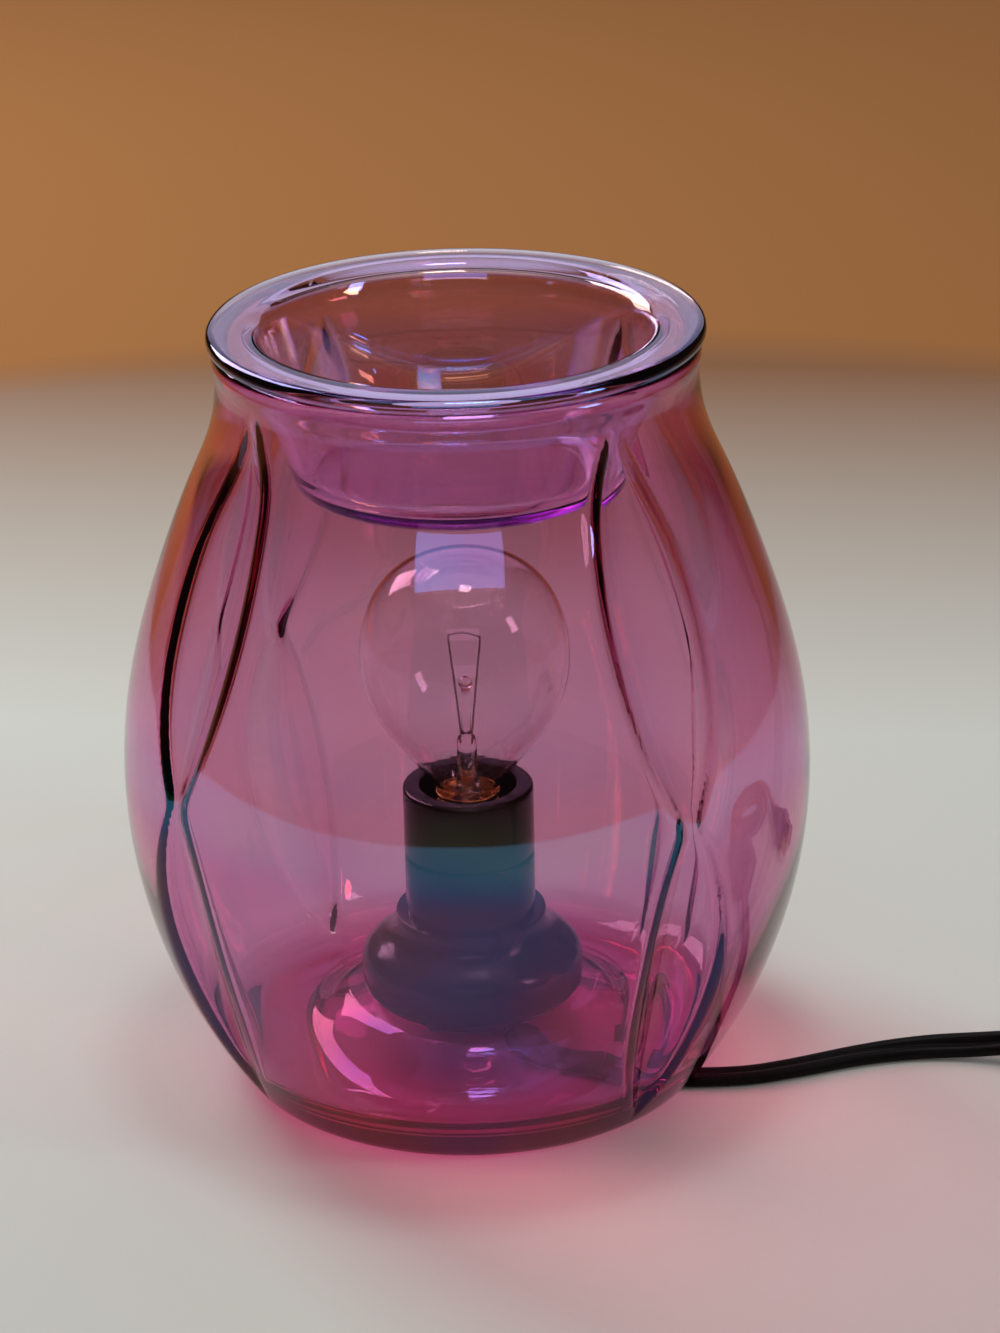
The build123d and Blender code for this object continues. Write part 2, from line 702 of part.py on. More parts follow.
# ---------------------------------------------------------------------------
# Cord on the table
# ---------------------------------------------------------------------------
with BuildPart() as cord_to_switch:
    add_tube(free_points, Vector(-sin(radians(12)), cos(radians(12)), 0), "cord_to_switch")
save(cord_to_switch.part, "cord_to_switch")
print("cord_to_switch volume", round(cord_to_switch.part.volume, 1))

switch_x0 = free_points[-1][0]
switch_y = free_points[-1][1]
switch_x = switch_x0 + switch_len / 2
switch_x1 = switch_x0 + switch_len
coil_x = switch_x1 + coil_lead
turn_r = coil_mid_r + cord_w / 2
coil_y = switch_y + turn_r
coil_z0 = tie_t
coil_h = coil_layers * cord_t
coil_z1 = coil_z0 + coil_h
coil_low_z = coil_z0 + cord_t / 2
coil_top_z = coil_z1 - cord_t / 2

coil_points = [
    (switch_x1, switch_y, switch_split), (switch_x1 + 11, switch_y, switch_split),
    (switch_x1 + 25, switch_y, coil_low_z), (coil_x - 1, switch_y, coil_low_z),
]
with BuildPart() as cord_to_coil:
    add_tube(coil_points, Vector(0, 1, 0), "cord_to_coil")
save(cord_to_coil.part, "cord_to_coil")
print("cord_to_coil volume", round(cord_to_coil.part.volume, 1))

with BuildPart() as cord_coil:
    with BuildSketch(Plane(origin=(coil_x, coil_y, 0), x_dir=(1, 0, 0), z_dir=(0, -1, 0))):
        with Locations((coil_mid_r, coil_z0 + coil_h / 2)):
            RectangleRounded(2 * cord_w, coil_h, cord_t / 2)
    revolve(axis=Axis((coil_x, coil_y, 0), (0, 0, 1)))
save(cord_coil.part, "cord_coil")

with BuildPart() as coil_tie:
    with BuildSketch(Plane(origin=(coil_x, coil_y + tie_w / 2, 0), x_dir=(1, 0, 0), z_dir=(0, -1, 0))):
        with Locations((coil_mid_r, coil_z0 + coil_h / 2)):
            RectangleRounded(2 * (cord_w + tie_ease + tie_t), coil_h + 2 * tie_t, cord_t / 2 + tie_t)
            RectangleRounded(2 * (cord_w + tie_ease), coil_h, cord_t / 2, mode=Mode.SUBTRACT)
    extrude(amount=tie_w)
save(coil_tie.part, "coil_tie")

plug_y = coil_y + turn_r
plug_z = plug_h / 2
relief_x = coil_x - plug_lead
plug_points = [
    (coil_x - 5, plug_y, coil_top_z), (coil_x - 17, plug_y, coil_top_z),
    (relief_x + 12, plug_y, plug_z), (relief_x, plug_y, plug_z),
]
with BuildPart() as cord_to_plug:
    add_tube(plug_points, Vector(0, 1, 0), "cord_to_plug")
save(cord_to_plug.part, "cord_to_plug")
print("cord_to_plug volume", round(cord_to_plug.part.volume, 1))

# ---------------------------------------------------------------------------
# Plug
# ---------------------------------------------------------------------------
plug_back_x = relief_x - relief_len
plug_face_x = plug_back_x - plug_len

def plug_plane(x):
    """Plane across the plug at x, facing its blades."""
    return Plane(origin=(x, plug_y, plug_z), x_dir=(0, 1, 0), z_dir=(-1, 0, 0))


with BuildPart() as plug_relief:
    with BuildSketch(plug_plane(relief_x + relief_lap)):
        RectangleRounded(relief_w, relief_h, relief_h / 2 - over / 10)
    with BuildSketch(plug_plane(plug_back_x)):
        RectangleRounded(plug_tail_w - plug_step, plug_tail_h - plug_step, plug_tail_round - plug_step / 2)
    loft()
    with BuildSketch(plug_plane(relief_x)):
        RectangleRounded(cord_w, cord_t, cord_round)
    extrude(amount=-relief_lap - over, mode=Mode.SUBTRACT)
save(plug_relief.part, "plug_relief")

with BuildPart() as plug_body:
    with BuildSketch(plug_plane(plug_back_x)):
        RectangleRounded(plug_tail_w, plug_tail_h, plug_tail_round)
    with BuildSketch(plug_plane(plug_face_x + plug_head)):
        RectangleRounded(plug_w, plug_h, plug_round)
    loft()
    with BuildSketch(plug_plane(plug_face_x + plug_head)):
        RectangleRounded(plug_w, plug_h, plug_round)
    extrude(amount=plug_head)
    fillet(plug_body.faces().sort_by(Axis.X)[0].edges(), edge_round)
save(plug_body.part, "plug_body")

with BuildPart() as plug_blades:
    for side, width in ((-1, blade_w), (1, neutral_blade_w)):
        centre_y = plug_y + side * blade_pitch / 2
        with BuildSketch(Plane(origin=(plug_face_x, centre_y, plug_z), x_dir=(0, 0, 1), z_dir=(-1, 0, 0))):
            Rectangle(width, blade_t)
        blade = extrude(amount=blade_len)
        tip_edges = blade.faces().sort_by(Axis.X)[0].edges().filter_by(Axis.Y)
        chamfer(tip_edges, blade_t, blade_t / 2)
save(plug_blades.part, "plug_blades")

# ---------------------------------------------------------------------------
# In-line switch
# ---------------------------------------------------------------------------
floor_plane = Plane(origin=(switch_x, switch_y, 0))
side_plane = Plane(origin=(switch_x, switch_y, 0), x_dir=(1, 0, 0), z_dir=(0, -1, 0))
end_plane = Plane(origin=(switch_x, switch_y, 0), x_dir=(0, 1, 0), z_dir=(1, 0, 0))
inner_len = switch_len - 2 * switch_wall
inner_w = switch_w - 2 * switch_wall
contact_x = seesaw_half - contact_in
stop_z = seesaw_z - seesaw_t - contact_x * tan(radians(seesaw_tilt)) - gap
cheek_y = rocker_w / 2 + gap
cheek_low_z = rocker_pivot_z - cheek_w / 2
cover_under_z = switch_h - switch_wall
boss_top = switch_h - switch_split - switch_wall / 2
screw_spots = [(-screw_x, screw_y), (screw_x, -screw_y)]
rib_spots = [(-rib_x, 0), (rib_x, 0)]


def cord_way(extra):
    """Slot for the cord through both ends of the switch."""
    with BuildSketch(end_plane.offset(-switch_len)) as way:
        with Locations((0, switch_split)):
            SlotOverall(cord_w + extra, cord_t + extra)
    extrude(way.sketch, amount=2 * switch_len, mode=Mode.SUBTRACT)


with BuildPart() as switch_base:
    with BuildSketch(floor_plane):
        RectangleRounded(switch_len, switch_w, switch_corner)
    extrude(amount=switch_split)
    fillet(switch_base.faces().sort_by(Axis.Z)[0].edges(), edge_round)
    with BuildSketch(floor_plane.offset(floor_t)):
        RectangleRounded(inner_len, inner_w, switch_corner - switch_wall)
    extrude(amount=switch_h, mode=Mode.SUBTRACT)
    with BuildSketch(floor_plane.offset(floor_t)):
        with Locations(screw_spots):
            Circle(boss_r)
    extrude(amount=switch_split - floor_t)
    with BuildSketch(floor_plane.offset(floor_t)):
        with Locations(rib_spots):
            Rectangle(rib_t, rib_w)
    extrude(amount=switch_split - floor_t)
    with BuildSketch(floor_plane.offset(floor_t)):
        with Locations((-contact_x, 0)):
            Rectangle(stop_t, stop_w)
    extrude(amount=stop_z - floor_t)
    cord_way(2 * sleeve_fit)
    with BuildSketch(floor_plane):
        with Locations(screw_spots):
            Circle(screw_r + sleeve_fit)
    extrude(amount=switch_split, mode=Mode.SUBTRACT)
    with BuildSketch(floor_plane):
        with Locations(screw_spots):
            Circle(screw_head_r + gap)
    extrude(amount=screw_sink + screw_head_t, mode=Mode.SUBTRACT)
save(switch_base.part, "switch_base")

with BuildPart() as switch_cover:
    with BuildSketch(floor_plane.offset(switch_split)):
        RectangleRounded(switch_len, switch_w, switch_corner)
    extrude(amount=switch_h - switch_split)
    fillet(switch_cover.faces().sort_by(Axis.Z)[-1].edges(), cover_round)
    with BuildSketch(floor_plane.offset(switch_split)):
        RectangleRounded(inner_len, inner_w, switch_corner - switch_wall)
    extrude(amount=switch_h - switch_split - switch_wall, mode=Mode.SUBTRACT)
    with BuildSketch(floor_plane.offset(switch_h)):
        Rectangle(2 * (rocker_half + rocker_clear), rocker_w + 2 * gap)
    extrude(amount=-switch_h, mode=Mode.SUBTRACT)
    for side in (-1, 1):
        with BuildSketch(side_plane.offset(side * (cheek_y + cheek_t / 2) - cheek_t / 2)):
            with Locations((0, (cheek_low_z + cover_under_z + gap) / 2)):
                Rectangle(cheek_w, cover_under_z + gap - cheek_low_z)
        extrude(amount=cheek_t)
    with BuildSketch(floor_plane.offset(switch_split)):
        with Locations(screw_spots):
            Circle(boss_r)
        with Locations(screw_spots):
            Circle(screw_r, mode=Mode.SUBTRACT)
    extrude(amount=boss_top)
    with BuildSketch(floor_plane.offset(switch_split)):
        with Locations(rib_spots):
            Rectangle(rib_t, rib_w)
    extrude(amount=boss_top)
    cord_way(2 * sleeve_fit)
    with BuildSketch(side_plane.offset(-cheek_y - cheek_t)):
        with Locations((0, rocker_pivot_z)):
            Circle(pin_r)
    extrude(amount=2 * (cheek_y + cheek_t), mode=Mode.SUBTRACT)
save(switch_cover.part, "switch_cover")

# The rocker stands tilted at rest (off).  Its own planes turn with it.
rest_turn = radians(-rocker_tilt)
pivot = Vector(switch_x, switch_y, rocker_pivot_z)
rocker_x = Vector(cos(rest_turn), 0, sin(rest_turn))
rocker_up = Vector(-sin(rest_turn), 0, cos(rest_turn))
rocker_plane = Plane(origin=pivot, x_dir=rocker_x, z_dir=(0, -1, 0))
stem_plane = Plane(origin=pivot, x_dir=rocker_x, z_dir=rocker_up)
plunger_low = rocker_pivot_z - seesaw_z - gap
corner_x = sqrt(rocker_end_r**2 - rocker_rise**2)
flank_x = sqrt(rocker_end_r**2 - rocker_flank_z**2)
heel_x = sqrt(rocker_end_r**2 - rocker_heel_z**2)

with BuildPart() as switch_rocker:
    with BuildSketch(rocker_plane.offset(-rocker_w / 2)):
        with BuildLine():
            Line((-heel_x, rocker_heel_z), (heel_x, rocker_heel_z))
            ThreePointArc((heel_x, rocker_heel_z), (flank_x, rocker_flank_z), (corner_x, rocker_rise))
            ThreePointArc((corner_x, rocker_rise), (0, rocker_rise - rocker_dip), (-corner_x, rocker_rise))
            ThreePointArc((-corner_x, rocker_rise), (-flank_x, rocker_flank_z), (-heel_x, rocker_heel_z))
        make_face()
        Circle(rocker_hub_r)
        Circle(pin_r + pin_fit, mode=Mode.SUBTRACT)
    extrude(amount=rocker_w)
    with BuildSketch(stem_plane.offset(-rocker_stem_low)):
        Circle(rocker_stem_r)
    extrude(amount=rocker_stem_low - pin_r - 2 * pin_wall)
    with BuildSketch(stem_plane.offset(-rocker_stem_low)):
        Circle(plunger_bore_r)
    extrude(amount=rocker_stem_low - pin_r - pin_wall, mode=Mode.SUBTRACT)
save(switch_rocker.part, "switch_rocker")

with BuildPart() as rocker_pin:
    with BuildSketch(side_plane.offset(-cheek_y - cheek_t)):
        with Locations((0, rocker_pivot_z)):
            Circle(pin_r)
    extrude(amount=2 * (cheek_y + cheek_t))
save(rocker_pin.part, "rocker_pin")

with BuildPart() as switch_plunger:
    with BuildSketch(rocker_plane):
        with BuildLine():
            Polyline((0, -plunger_top), (plunger_r, -plunger_top), (plunger_r, plunger_dome - plunger_low))
            dome(plunger_r, plunger_dome - plunger_low, -plunger_low)
            Line((0, -plunger_low), (0, -plunger_top))
        make_face()
    revolve(axis=Axis(pivot, rocker_up))
save(switch_plunger.part, "switch_plunger")

with BuildPart() as plunger_spring:
    with BuildLine(stem_plane.offset(spring_wire - plunger_top)) as spring_line:
        Helix(pitch=spring_pitch, height=spring_len, radius=spring_r - spring_wire)
    with BuildSketch(Plane(origin=spring_line.line @ 0, z_dir=spring_line.line % 0)):
        Circle(spring_wire)
    sweep(path=spring_line.line, is_frenet=True)
save(plunger_spring.part, "plunger_spring")

seesaw_turn = radians(seesaw_tilt)
seesaw_plane = Plane(origin=(switch_x, switch_y, seesaw_z - seesaw_t),
                     x_dir=(cos(seesaw_turn), 0, sin(seesaw_turn)), z_dir=(0, -1, 0))
with BuildPart() as seesaw_contact:
    with BuildSketch(seesaw_plane.offset(-seesaw_w / 2)):
        with Locations((0, seesaw_t / 2)):
            Rectangle(2 * seesaw_half, seesaw_t)
    extrude(amount=seesaw_w)
    with BuildSketch(Plane(origin=seesaw_plane.origin, x_dir=seesaw_plane.x_dir,
                           z_dir=seesaw_plane.y_dir * -1)):
        with Locations((contact_x, 0)):
            Circle(contact_r)
    extrude(amount=contact_bump)
save(seesaw_contact.part, "seesaw_contact")

fulcrum_z = seesaw_z - seesaw_t - gap
fulcrum_axis_z = fulcrum_z - fulcrum_t / 2   # its upper edge is round about this
fixed_contact_z = fulcrum_z - contact_x * sin(seesaw_turn) - contact_bump
terminal_spots = [(-terminal_x, common_y), (terminal_x, 0)]
with BuildPart() as terminal_common:
    with BuildSketch(floor_plane.offset(floor_t)):
        with Locations((-terminal_x / 2, common_y)):
            Rectangle(terminal_x + 2 * eye_r, common_w)
        with Locations(terminal_spots[0]):
            Circle(eye_r)
            Circle(screw_r, mode=Mode.SUBTRACT)
    extrude(amount=strip_t)
    with BuildSketch(side_plane.offset(-common_y - common_w / 2)):
        with Locations((0, (floor_t + fulcrum_axis_z) / 2)):
            Rectangle(fulcrum_t, fulcrum_axis_z - floor_t)
        with Locations((0, fulcrum_axis_z)):
            Circle(fulcrum_t / 2)
    extrude(amount=fulcrum_w)
save(terminal_common.part, "terminal_common")

with BuildPart() as terminal_load:
    with BuildSketch(floor_plane.offset(floor_t)):
        with Locations(((contact_x + terminal_x) / 2, 0)):
            Rectangle(terminal_x - contact_x + 2 * contact_r, load_w)
        with Locations(terminal_spots[1]):
            Circle(eye_r)
            Circle(screw_r, mode=Mode.SUBTRACT)
    extrude(amount=strip_t)
    with BuildSketch(floor_plane.offset(floor_t)):
        with Locations((contact_x, 0)):
            Circle(contact_r)
    extrude(amount=fixed_contact_z - floor_t)
save(terminal_load.part, "terminal_load")

clamp_top_z = floor_t + strip_t + clamp_t
with BuildPart() as switch_terminal_screws:
    with BuildSketch(floor_plane.offset(floor_t)):
        with Locations(terminal_spots):
            Circle(screw_r)
    extrude(amount=strip_t)
    with BuildSketch(floor_plane.offset(floor_t + strip_t)):
        with Locations(terminal_spots):
            Circle(clamp_r)
    extrude(amount=clamp_t)
    with BuildSketch(floor_plane.offset(clamp_top_z)):
        with Locations(terminal_spots):
            Rectangle(2 * clamp_r, clamp_slot_w)
    extrude(amount=-screw_slot_depth, mode=Mode.SUBTRACT)
save(switch_terminal_screws.part, "switch_terminal_screws")

with BuildPart() as switch_cores:
    for side in (-1, 1):
        with BuildSketch(end_plane.offset(side * stub_end)):
            with Locations((0, switch_split)):
                RectangleRounded(cord_w, cord_t, cord_round)
        extrude(amount=side * (switch_len / 2 - stub_end))
    lane = cord_w / 4
    core_lines = [
        [(-stub_end, -lane, switch_split), (-lane_x, -lane_y, lane_z), (lane_x, -lane_y, lane_z),
         (stub_end, -lane, switch_split)],
        [(-stub_end, lane, switch_split), (-terminal_x, common_y, clamp_top_z + core_r)],
        [(stub_end, lane, switch_split), (terminal_x, 0, clamp_top_z + core_r)],
    ]
    for line, ahead in zip(core_lines, (1, 1, -1)):
        points = [floor_plane.from_local_coords(Vector(*point)) for point in line]
        with BuildLine() as core_path:
            Spline(*points, tangents=[(ahead, 0, 0), (ahead, 0, 0)])
        with BuildSketch(Plane(origin=points[0], z_dir=(ahead, 0, 0))):
            Circle(core_r - sleeve_fit)
        sweep(path=core_path.line)
save(switch_cores.part, "switch_cores")

with BuildPart() as cover_screws:
    with BuildSketch(floor_plane.offset(screw_sink)):
        with Locations(screw_spots):
            Circle(screw_head_r)
    extrude(amount=screw_head_t)
    with BuildSketch(floor_plane.offset(screw_sink + screw_head_t)):
        with Locations(screw_spots):
            Circle(screw_r)
    extrude(amount=cover_screw_len)
    with BuildSketch(floor_plane.offset(screw_sink)):
        with Locations(screw_spots):
            Rectangle(2 * screw_head_r, screw_slot_w)
    extrude(amount=screw_slot_depth, mode=Mode.SUBTRACT)
save(cover_screws.part, "cover_screws")
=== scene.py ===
from math import atan2, cos, hypot, pi, radians, sin, sqrt

import bmesh
import bpy
from mathutils import Matrix, Vector
from mathutils.geometry import interpolate_bezier


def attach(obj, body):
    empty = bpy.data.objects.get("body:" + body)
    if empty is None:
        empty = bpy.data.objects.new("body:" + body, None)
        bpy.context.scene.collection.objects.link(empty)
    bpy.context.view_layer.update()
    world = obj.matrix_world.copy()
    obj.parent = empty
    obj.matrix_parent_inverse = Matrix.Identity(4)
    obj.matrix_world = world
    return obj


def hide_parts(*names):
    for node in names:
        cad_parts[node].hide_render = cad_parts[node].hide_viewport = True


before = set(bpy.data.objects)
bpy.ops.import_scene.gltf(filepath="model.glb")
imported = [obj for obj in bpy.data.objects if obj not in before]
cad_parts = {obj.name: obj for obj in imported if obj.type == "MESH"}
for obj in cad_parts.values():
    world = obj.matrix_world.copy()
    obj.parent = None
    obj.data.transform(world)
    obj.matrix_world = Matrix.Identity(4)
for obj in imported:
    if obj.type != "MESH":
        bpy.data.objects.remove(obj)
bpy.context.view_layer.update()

scene = bpy.context.scene
MM = 0.001

# ---------------------------------------------------------------------------
# Camera.  A long lens 0.83 m from the jar, looking down on it, held a little
# askew.
# ---------------------------------------------------------------------------
lens_mm = 107.0
view_far = 0.8316
view_down = radians(23.1)
view_turn = radians(6.0)
view_roll = radians(-1.31)
view_aim = Vector((0.0074, 0, 0.0896))

turn_round = Matrix.Rotation(view_turn, 3, "Z")
ahead = turn_round @ Vector((0, cos(view_down), -sin(view_down)))
level = turn_round @ Vector((1, 0, 0))
upright = turn_round @ Vector((0, sin(view_down), cos(view_down)))
right = level * cos(view_roll) + upright * sin(view_roll)
up = upright * cos(view_roll) - level * sin(view_roll)

camera = bpy.data.objects.new("camera", bpy.data.cameras.new("camera"))
scene.collection.objects.link(camera)
camera.data.lens = lens_mm
camera.data.clip_start = 0.01
place = turn_round @ view_aim - ahead * view_far
camera.matrix_world = Matrix.Translation(place) @ Matrix((right, up, -ahead)).transposed().to_4x4()
scene.camera = camera

# ---------------------------------------------------------------------------
# Room.  A pale tabletop that gives way to a warm brown surround half a metre
# out.  The key lamp stands high at the left behind, a window in front, and
# weaker soft lamps at the right, far behind and overhead.
# ---------------------------------------------------------------------------
def linear(hex_colour):
    """sRGB hex to the linear colour that the nodes take."""
    parts = [int(hex_colour[i:i + 2], 16) / 255 for i in (0, 2, 4)]
    return [p / 12.92 if p <= 0.04045 else ((p + 0.055) / 1.055) ** 2.4 for p in parts] + [1.0]


def add_node(tree, kind, inputs=None, **settings):
    """Adds a node with its settings; an input is a value, or a socket to link."""
    made = tree.nodes.new("ShaderNode" + kind)
    for key, value in settings.items():
        setattr(made, key, value)
    for key, value in (inputs or {}).items():
        if isinstance(value, bpy.types.NodeSocket):
            tree.links.new(value, made.inputs[key])
        else:
            made.inputs[key].default_value = value
    return made


def new_material(name):
    """An empty node material; returns it with its tree."""
    material = bpy.data.materials.new(name)
    material.use_nodes = True
    material.node_tree.nodes.clear()
    return material, material.node_tree


table_pale = linear("c9cbc4")
table_painted_shade_far = linear("835f46")
surround_brown = linear("98683f")
table_reach = 0.465
table_fade = 0.035
shade_from, shade_to = 0.17, 0.46
floor_r = 3.0
floor_drop = 0.1

floor_mesh = bmesh.new()
bmesh.ops.create_circle(floor_mesh, cap_ends=True, segments=96, radius=floor_r)
floor = bpy.data.objects.new("floor", bpy.data.meshes.new("floor"))
bmesh.ops.translate(floor_mesh, vec=(0, 0, -floor_drop * MM), verts=floor_mesh.verts)
floor_mesh.to_mesh(floor.data)
floor_mesh.free()
scene.collection.objects.link(floor)

paint, tree = new_material("table_with_painted_shade")
where = add_node(tree, "TexCoord")
away = add_node(tree, "VectorMath", {0: where.outputs["Object"]}, operation="LENGTH")
edge = add_node(tree, "MapRange", {"Value": away.outputs["Value"], "From Min": table_reach,
                                   "From Max": table_reach + table_fade})
# Towards the back the pale cloth turns darker and browner: painted shade.
depths = add_node(tree, "SeparateXYZ", {"Vector": where.outputs["Object"]})
back = add_node(tree, "MapRange", {"Value": depths.outputs["Y"], "From Min": shade_from,
                                   "From Max": shade_to})
cloth = add_node(tree, "MixRGB", {"Fac": back.outputs[0], "Color1": table_pale, "Color2": table_painted_shade_far})
tint = add_node(tree, "MixRGB", {"Fac": edge.outputs[0], "Color1": cloth.outputs[0],
                                 "Color2": surround_brown})
cover = add_node(tree, "BsdfDiffuse", {"Color": tint.outputs[0]})
add_node(tree, "OutputMaterial", {"Surface": cover.outputs[0]})
floor.data.materials.append(paint)

fill_strength = 0.18
mirrored_brown = linear("3c271b")
fill_white = linear("fffaf4")

world = bpy.data.worlds.new("room")
scene.world = world
world.use_nodes = True
tree = world.node_tree
tree.nodes.clear()
path_kind = add_node(tree, "LightPath")
seen = add_node(tree, "Background", {"Color": surround_brown, "Strength": 1.0})
mirrored = add_node(tree, "Background", {"Color": mirrored_brown, "Strength": 1.0})
soft = add_node(tree, "Background", {"Color": fill_white, "Strength": fill_strength})
after_gloss = add_node(tree, "MixShader", {"Fac": path_kind.outputs["Is Glossy Ray"], 1: seen.outputs[0],
                                           2: mirrored.outputs[0]})
after_matt = add_node(tree, "Math", {0: path_kind.outputs["Diffuse Depth"], 1: 0.5},
                      operation="GREATER_THAN")
both = add_node(tree, "MixShader", {"Fac": after_matt.outputs[0], 1: after_gloss.outputs[0],
                                    2: soft.outputs[0]})
add_node(tree, "OutputWorld", {"Surface": both.outputs[0]})


def add_lamp(name, spot, aim, size, watts, colour="ffffff"):
    """A soft rectangular lamp at spot that faces aim."""
    lamp = bpy.data.lights.new(name, "AREA")
    lamp.shape = "RECTANGLE"
    lamp.size, lamp.size_y = size
    lamp.energy = watts
    lamp.color = linear(colour)[:3]
    holder = bpy.data.objects.new(name, lamp)
    facing = (Vector(aim) - Vector(spot)).to_track_quat("-Z", "Y")
    holder.matrix_world = Matrix.Translation(spot) @ facing.to_matrix().to_4x4()
    holder.visible_camera = False
    scene.collection.objects.link(holder)


add_lamp("key", (-0.70, 0.66, 0.76), (0, 0, 0.06), (0.45, 0.80), 9.0)
add_lamp("window", (0.13, -1.24, 0.84), (0, 0, 0.13), (0.90, 0.30), 1.5, "f2eeff")
add_lamp("side", (0.85, -0.30, 0.55), (0, 0, 0.08), (0.16, 0.26), 1.2)
add_lamp("far", (-0.10, 1.05, 0.58), (0, 0, 0.12), (1.1, 0.60), 1.5, "e6e9ff")
add_lamp("ceiling", (0.05, 0.0, 1.30), (0, 0, 0.10), (0.22, 0.22), 2.2)
add_lamp("overhead", (0.0, 0.0, 1.55), (0, 0, 0.10), (1.5, 1.5), 4.6)

scene.view_settings.view_transform = "Standard"
through_glass = 28
scene.cycles.max_bounces = through_glass
scene.cycles.transmission_bounces = through_glass
scene.cycles.transparent_max_bounces = through_glass
scene.cycles.glossy_bounces = 8

# ---------------------------------------------------------------------------
# Cord from the jar to the switch.  Flat twin lamp cord: two stranded wires in
# one skin of black vinyl with a groove between them.  It lies flat on the
# table and rolls over to one side before it climbs into the switch.
# ---------------------------------------------------------------------------
cord_thick = 2.8

outline = bpy.data.objects.new("cord_outline", bpy.data.curves.new("cord_outline", "CURVE"))
outline.data.dimensions = "2D"
ring = outline.data.splines.new("POLY")
lobe_r = cord_thick / 2
lobe_points = [(side * (lobe_r + lobe_r * cos(turn)), side * lobe_r * sin(turn))
               for side in (1, -1) for turn in [radians(a) for a in range(-150, 151, 20)]]
ring.points.add(len(lobe_points) - 1)
for point, (x, y) in zip(ring.points, lobe_points):
    point.co = (x * MM, y * MM, 0, 1)
ring.use_cyclic_u = True
scene.collection.objects.link(outline)


def flat_cord(name, points, tilts):
    """Flat cord along a smooth spline with these control points, in mm; returns it with its path."""
    line = bpy.data.curves.new(name, "CURVE")
    line.dimensions = "3D"
    line.twist_mode = "Z_UP"
    line.resolution_u = 6
    spline = line.splines.new("NURBS")
    spline.points.add(len(points) - 1)
    for point, (x, y, z), tilt in zip(spline.points, points, tilts):
        point.co = (x * MM, y * MM, z * MM, 1)
        point.tilt = radians(tilt)
    spline.order_u = 3
    spline.use_endpoint_u = True
    carrier = bpy.data.objects.new(name, line)
    scene.collection.objects.link(carrier)
    path = [v.co.copy() for v in bpy.data.meshes.new_from_object(carrier).vertices]
    line.bevel_mode = "OBJECT"
    line.bevel_object = outline
    bpy.context.view_layer.update()
    skin = bpy.data.meshes.new_from_object(carrier.evaluated_get(bpy.context.evaluated_depsgraph_get()))
    bpy.data.objects.remove(carrier)
    shape = bmesh.new()
    shape.from_mesh(skin)
    bmesh.ops.remove_doubles(shape, verts=shape.verts, dist=0.01 * MM)
    bmesh.ops.holes_fill(shape, edges=[e for e in shape.edges if e.is_boundary])
    bmesh.ops.recalc_face_normals(shape, faces=shape.faces)
    for face in shape.faces:
        face.smooth = len(face.verts) == 4
    shape.to_mesh(skin)
    shape.free()
    cord = bpy.data.objects.new(name, skin)
    scene.collection.objects.link(cord)
    cord.data.materials.clear()
    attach(cord, "warmer")
    return cord, path


free_points = [
    (47.8, -15.1, 1.7), (58.2, -14.2, 1.5), (70.2, -9.4, 1.5), (84.4, -2.6, 1.6),
    (97.5, 0.6, 2.1), (110.5, 0.2, 3.2), (125.8, -3.4, 7.0), (138.0, -3.4, 7.0),
]
free_tilts = (0, 0, 0, 6, 26, 48, 10, 0)
cord_near, path_near = flat_cord("cord_near", free_points, free_tilts)
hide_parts("cord_to_switch")

# Vinyl cord: black, even satin skin from the extruder, with faint scuffs and
# dust that break its highlight.
vinyl, tree = new_material("extruded_black_vinyl")
where = add_node(tree, "TexCoord")
dust = add_node(tree, "TexNoise", {"Vector": where.outputs["Object"], "Scale": 420.0, "Detail": 6.0})
haze = add_node(tree, "ValToRGB", {"Fac": dust.outputs["Fac"]})
haze.color_ramp.elements[0].position = 0.45
haze.color_ramp.elements[0].color = linear("020202")
haze.color_ramp.elements[1].position = 0.78
haze.color_ramp.elements[1].color = linear("0c0b0b")
rough = add_node(tree, "MapRange", {"Value": dust.outputs["Fac"], "To Min": 0.38, "To Max": 0.54})
fine = add_node(tree, "TexNoise", {"Vector": where.outputs["Object"], "Scale": 2600.0, "Detail": 2.0})
bump = add_node(tree, "Bump", {"Height": fine.outputs["Fac"], "Strength": 0.12, "Distance": 0.0001})
skin = add_node(tree, "BsdfPrincipled", {"Base Color": haze.outputs[0], "Roughness": rough.outputs[0],
                                         "IOR": 1.53, "Specular IOR Level": 0.12, "Normal": bump.outputs[0]})
add_node(tree, "OutputMaterial", {"Surface": skin.outputs[0]})
cord_near.data.materials.append(vinyl)

# ---------------------------------------------------------------------------
# Cord from the switch to the plug, with its slack put away in a flat coil of
# eight and a half turns that lie beside and on each other.
# ---------------------------------------------------------------------------
coil_x, coil_y = 234.0, 29.7
steps_a_turn = 24
turn_slots = [
    (33.1, 2.0), (27.5, 2.0), (21.9, 2.0), (27.5, 4.8), (33.1, 4.8), (33.1, 7.6), (27.5, 7.6), (27.5, 10.4),
    (33.1, 10.4),
]
cross_share = 0.16
whole_turns = 8.5

coil_route = []
for step in range(int(whole_turns * steps_a_turn) + 1):
    turns = step / steps_a_turn
    slot = min(int(turns), len(turn_slots) - 1)
    part = turns - slot
    here = turn_slots[slot]
    ahead_slot = turn_slots[min(slot + 1, len(turn_slots) - 1)]
    move = max(0.0, (part - 1 + cross_share) / cross_share)
    move = move * move * (3 - 2 * move)
    radius = here[0] + (ahead_slot[0] - here[0]) * move
    height = here[1] + (ahead_slot[1] - here[1]) * move
    turn = 2 * pi * turns - pi / 2
    coil_route.append((coil_x + radius * cos(turn), coil_y + radius * sin(turn), height))

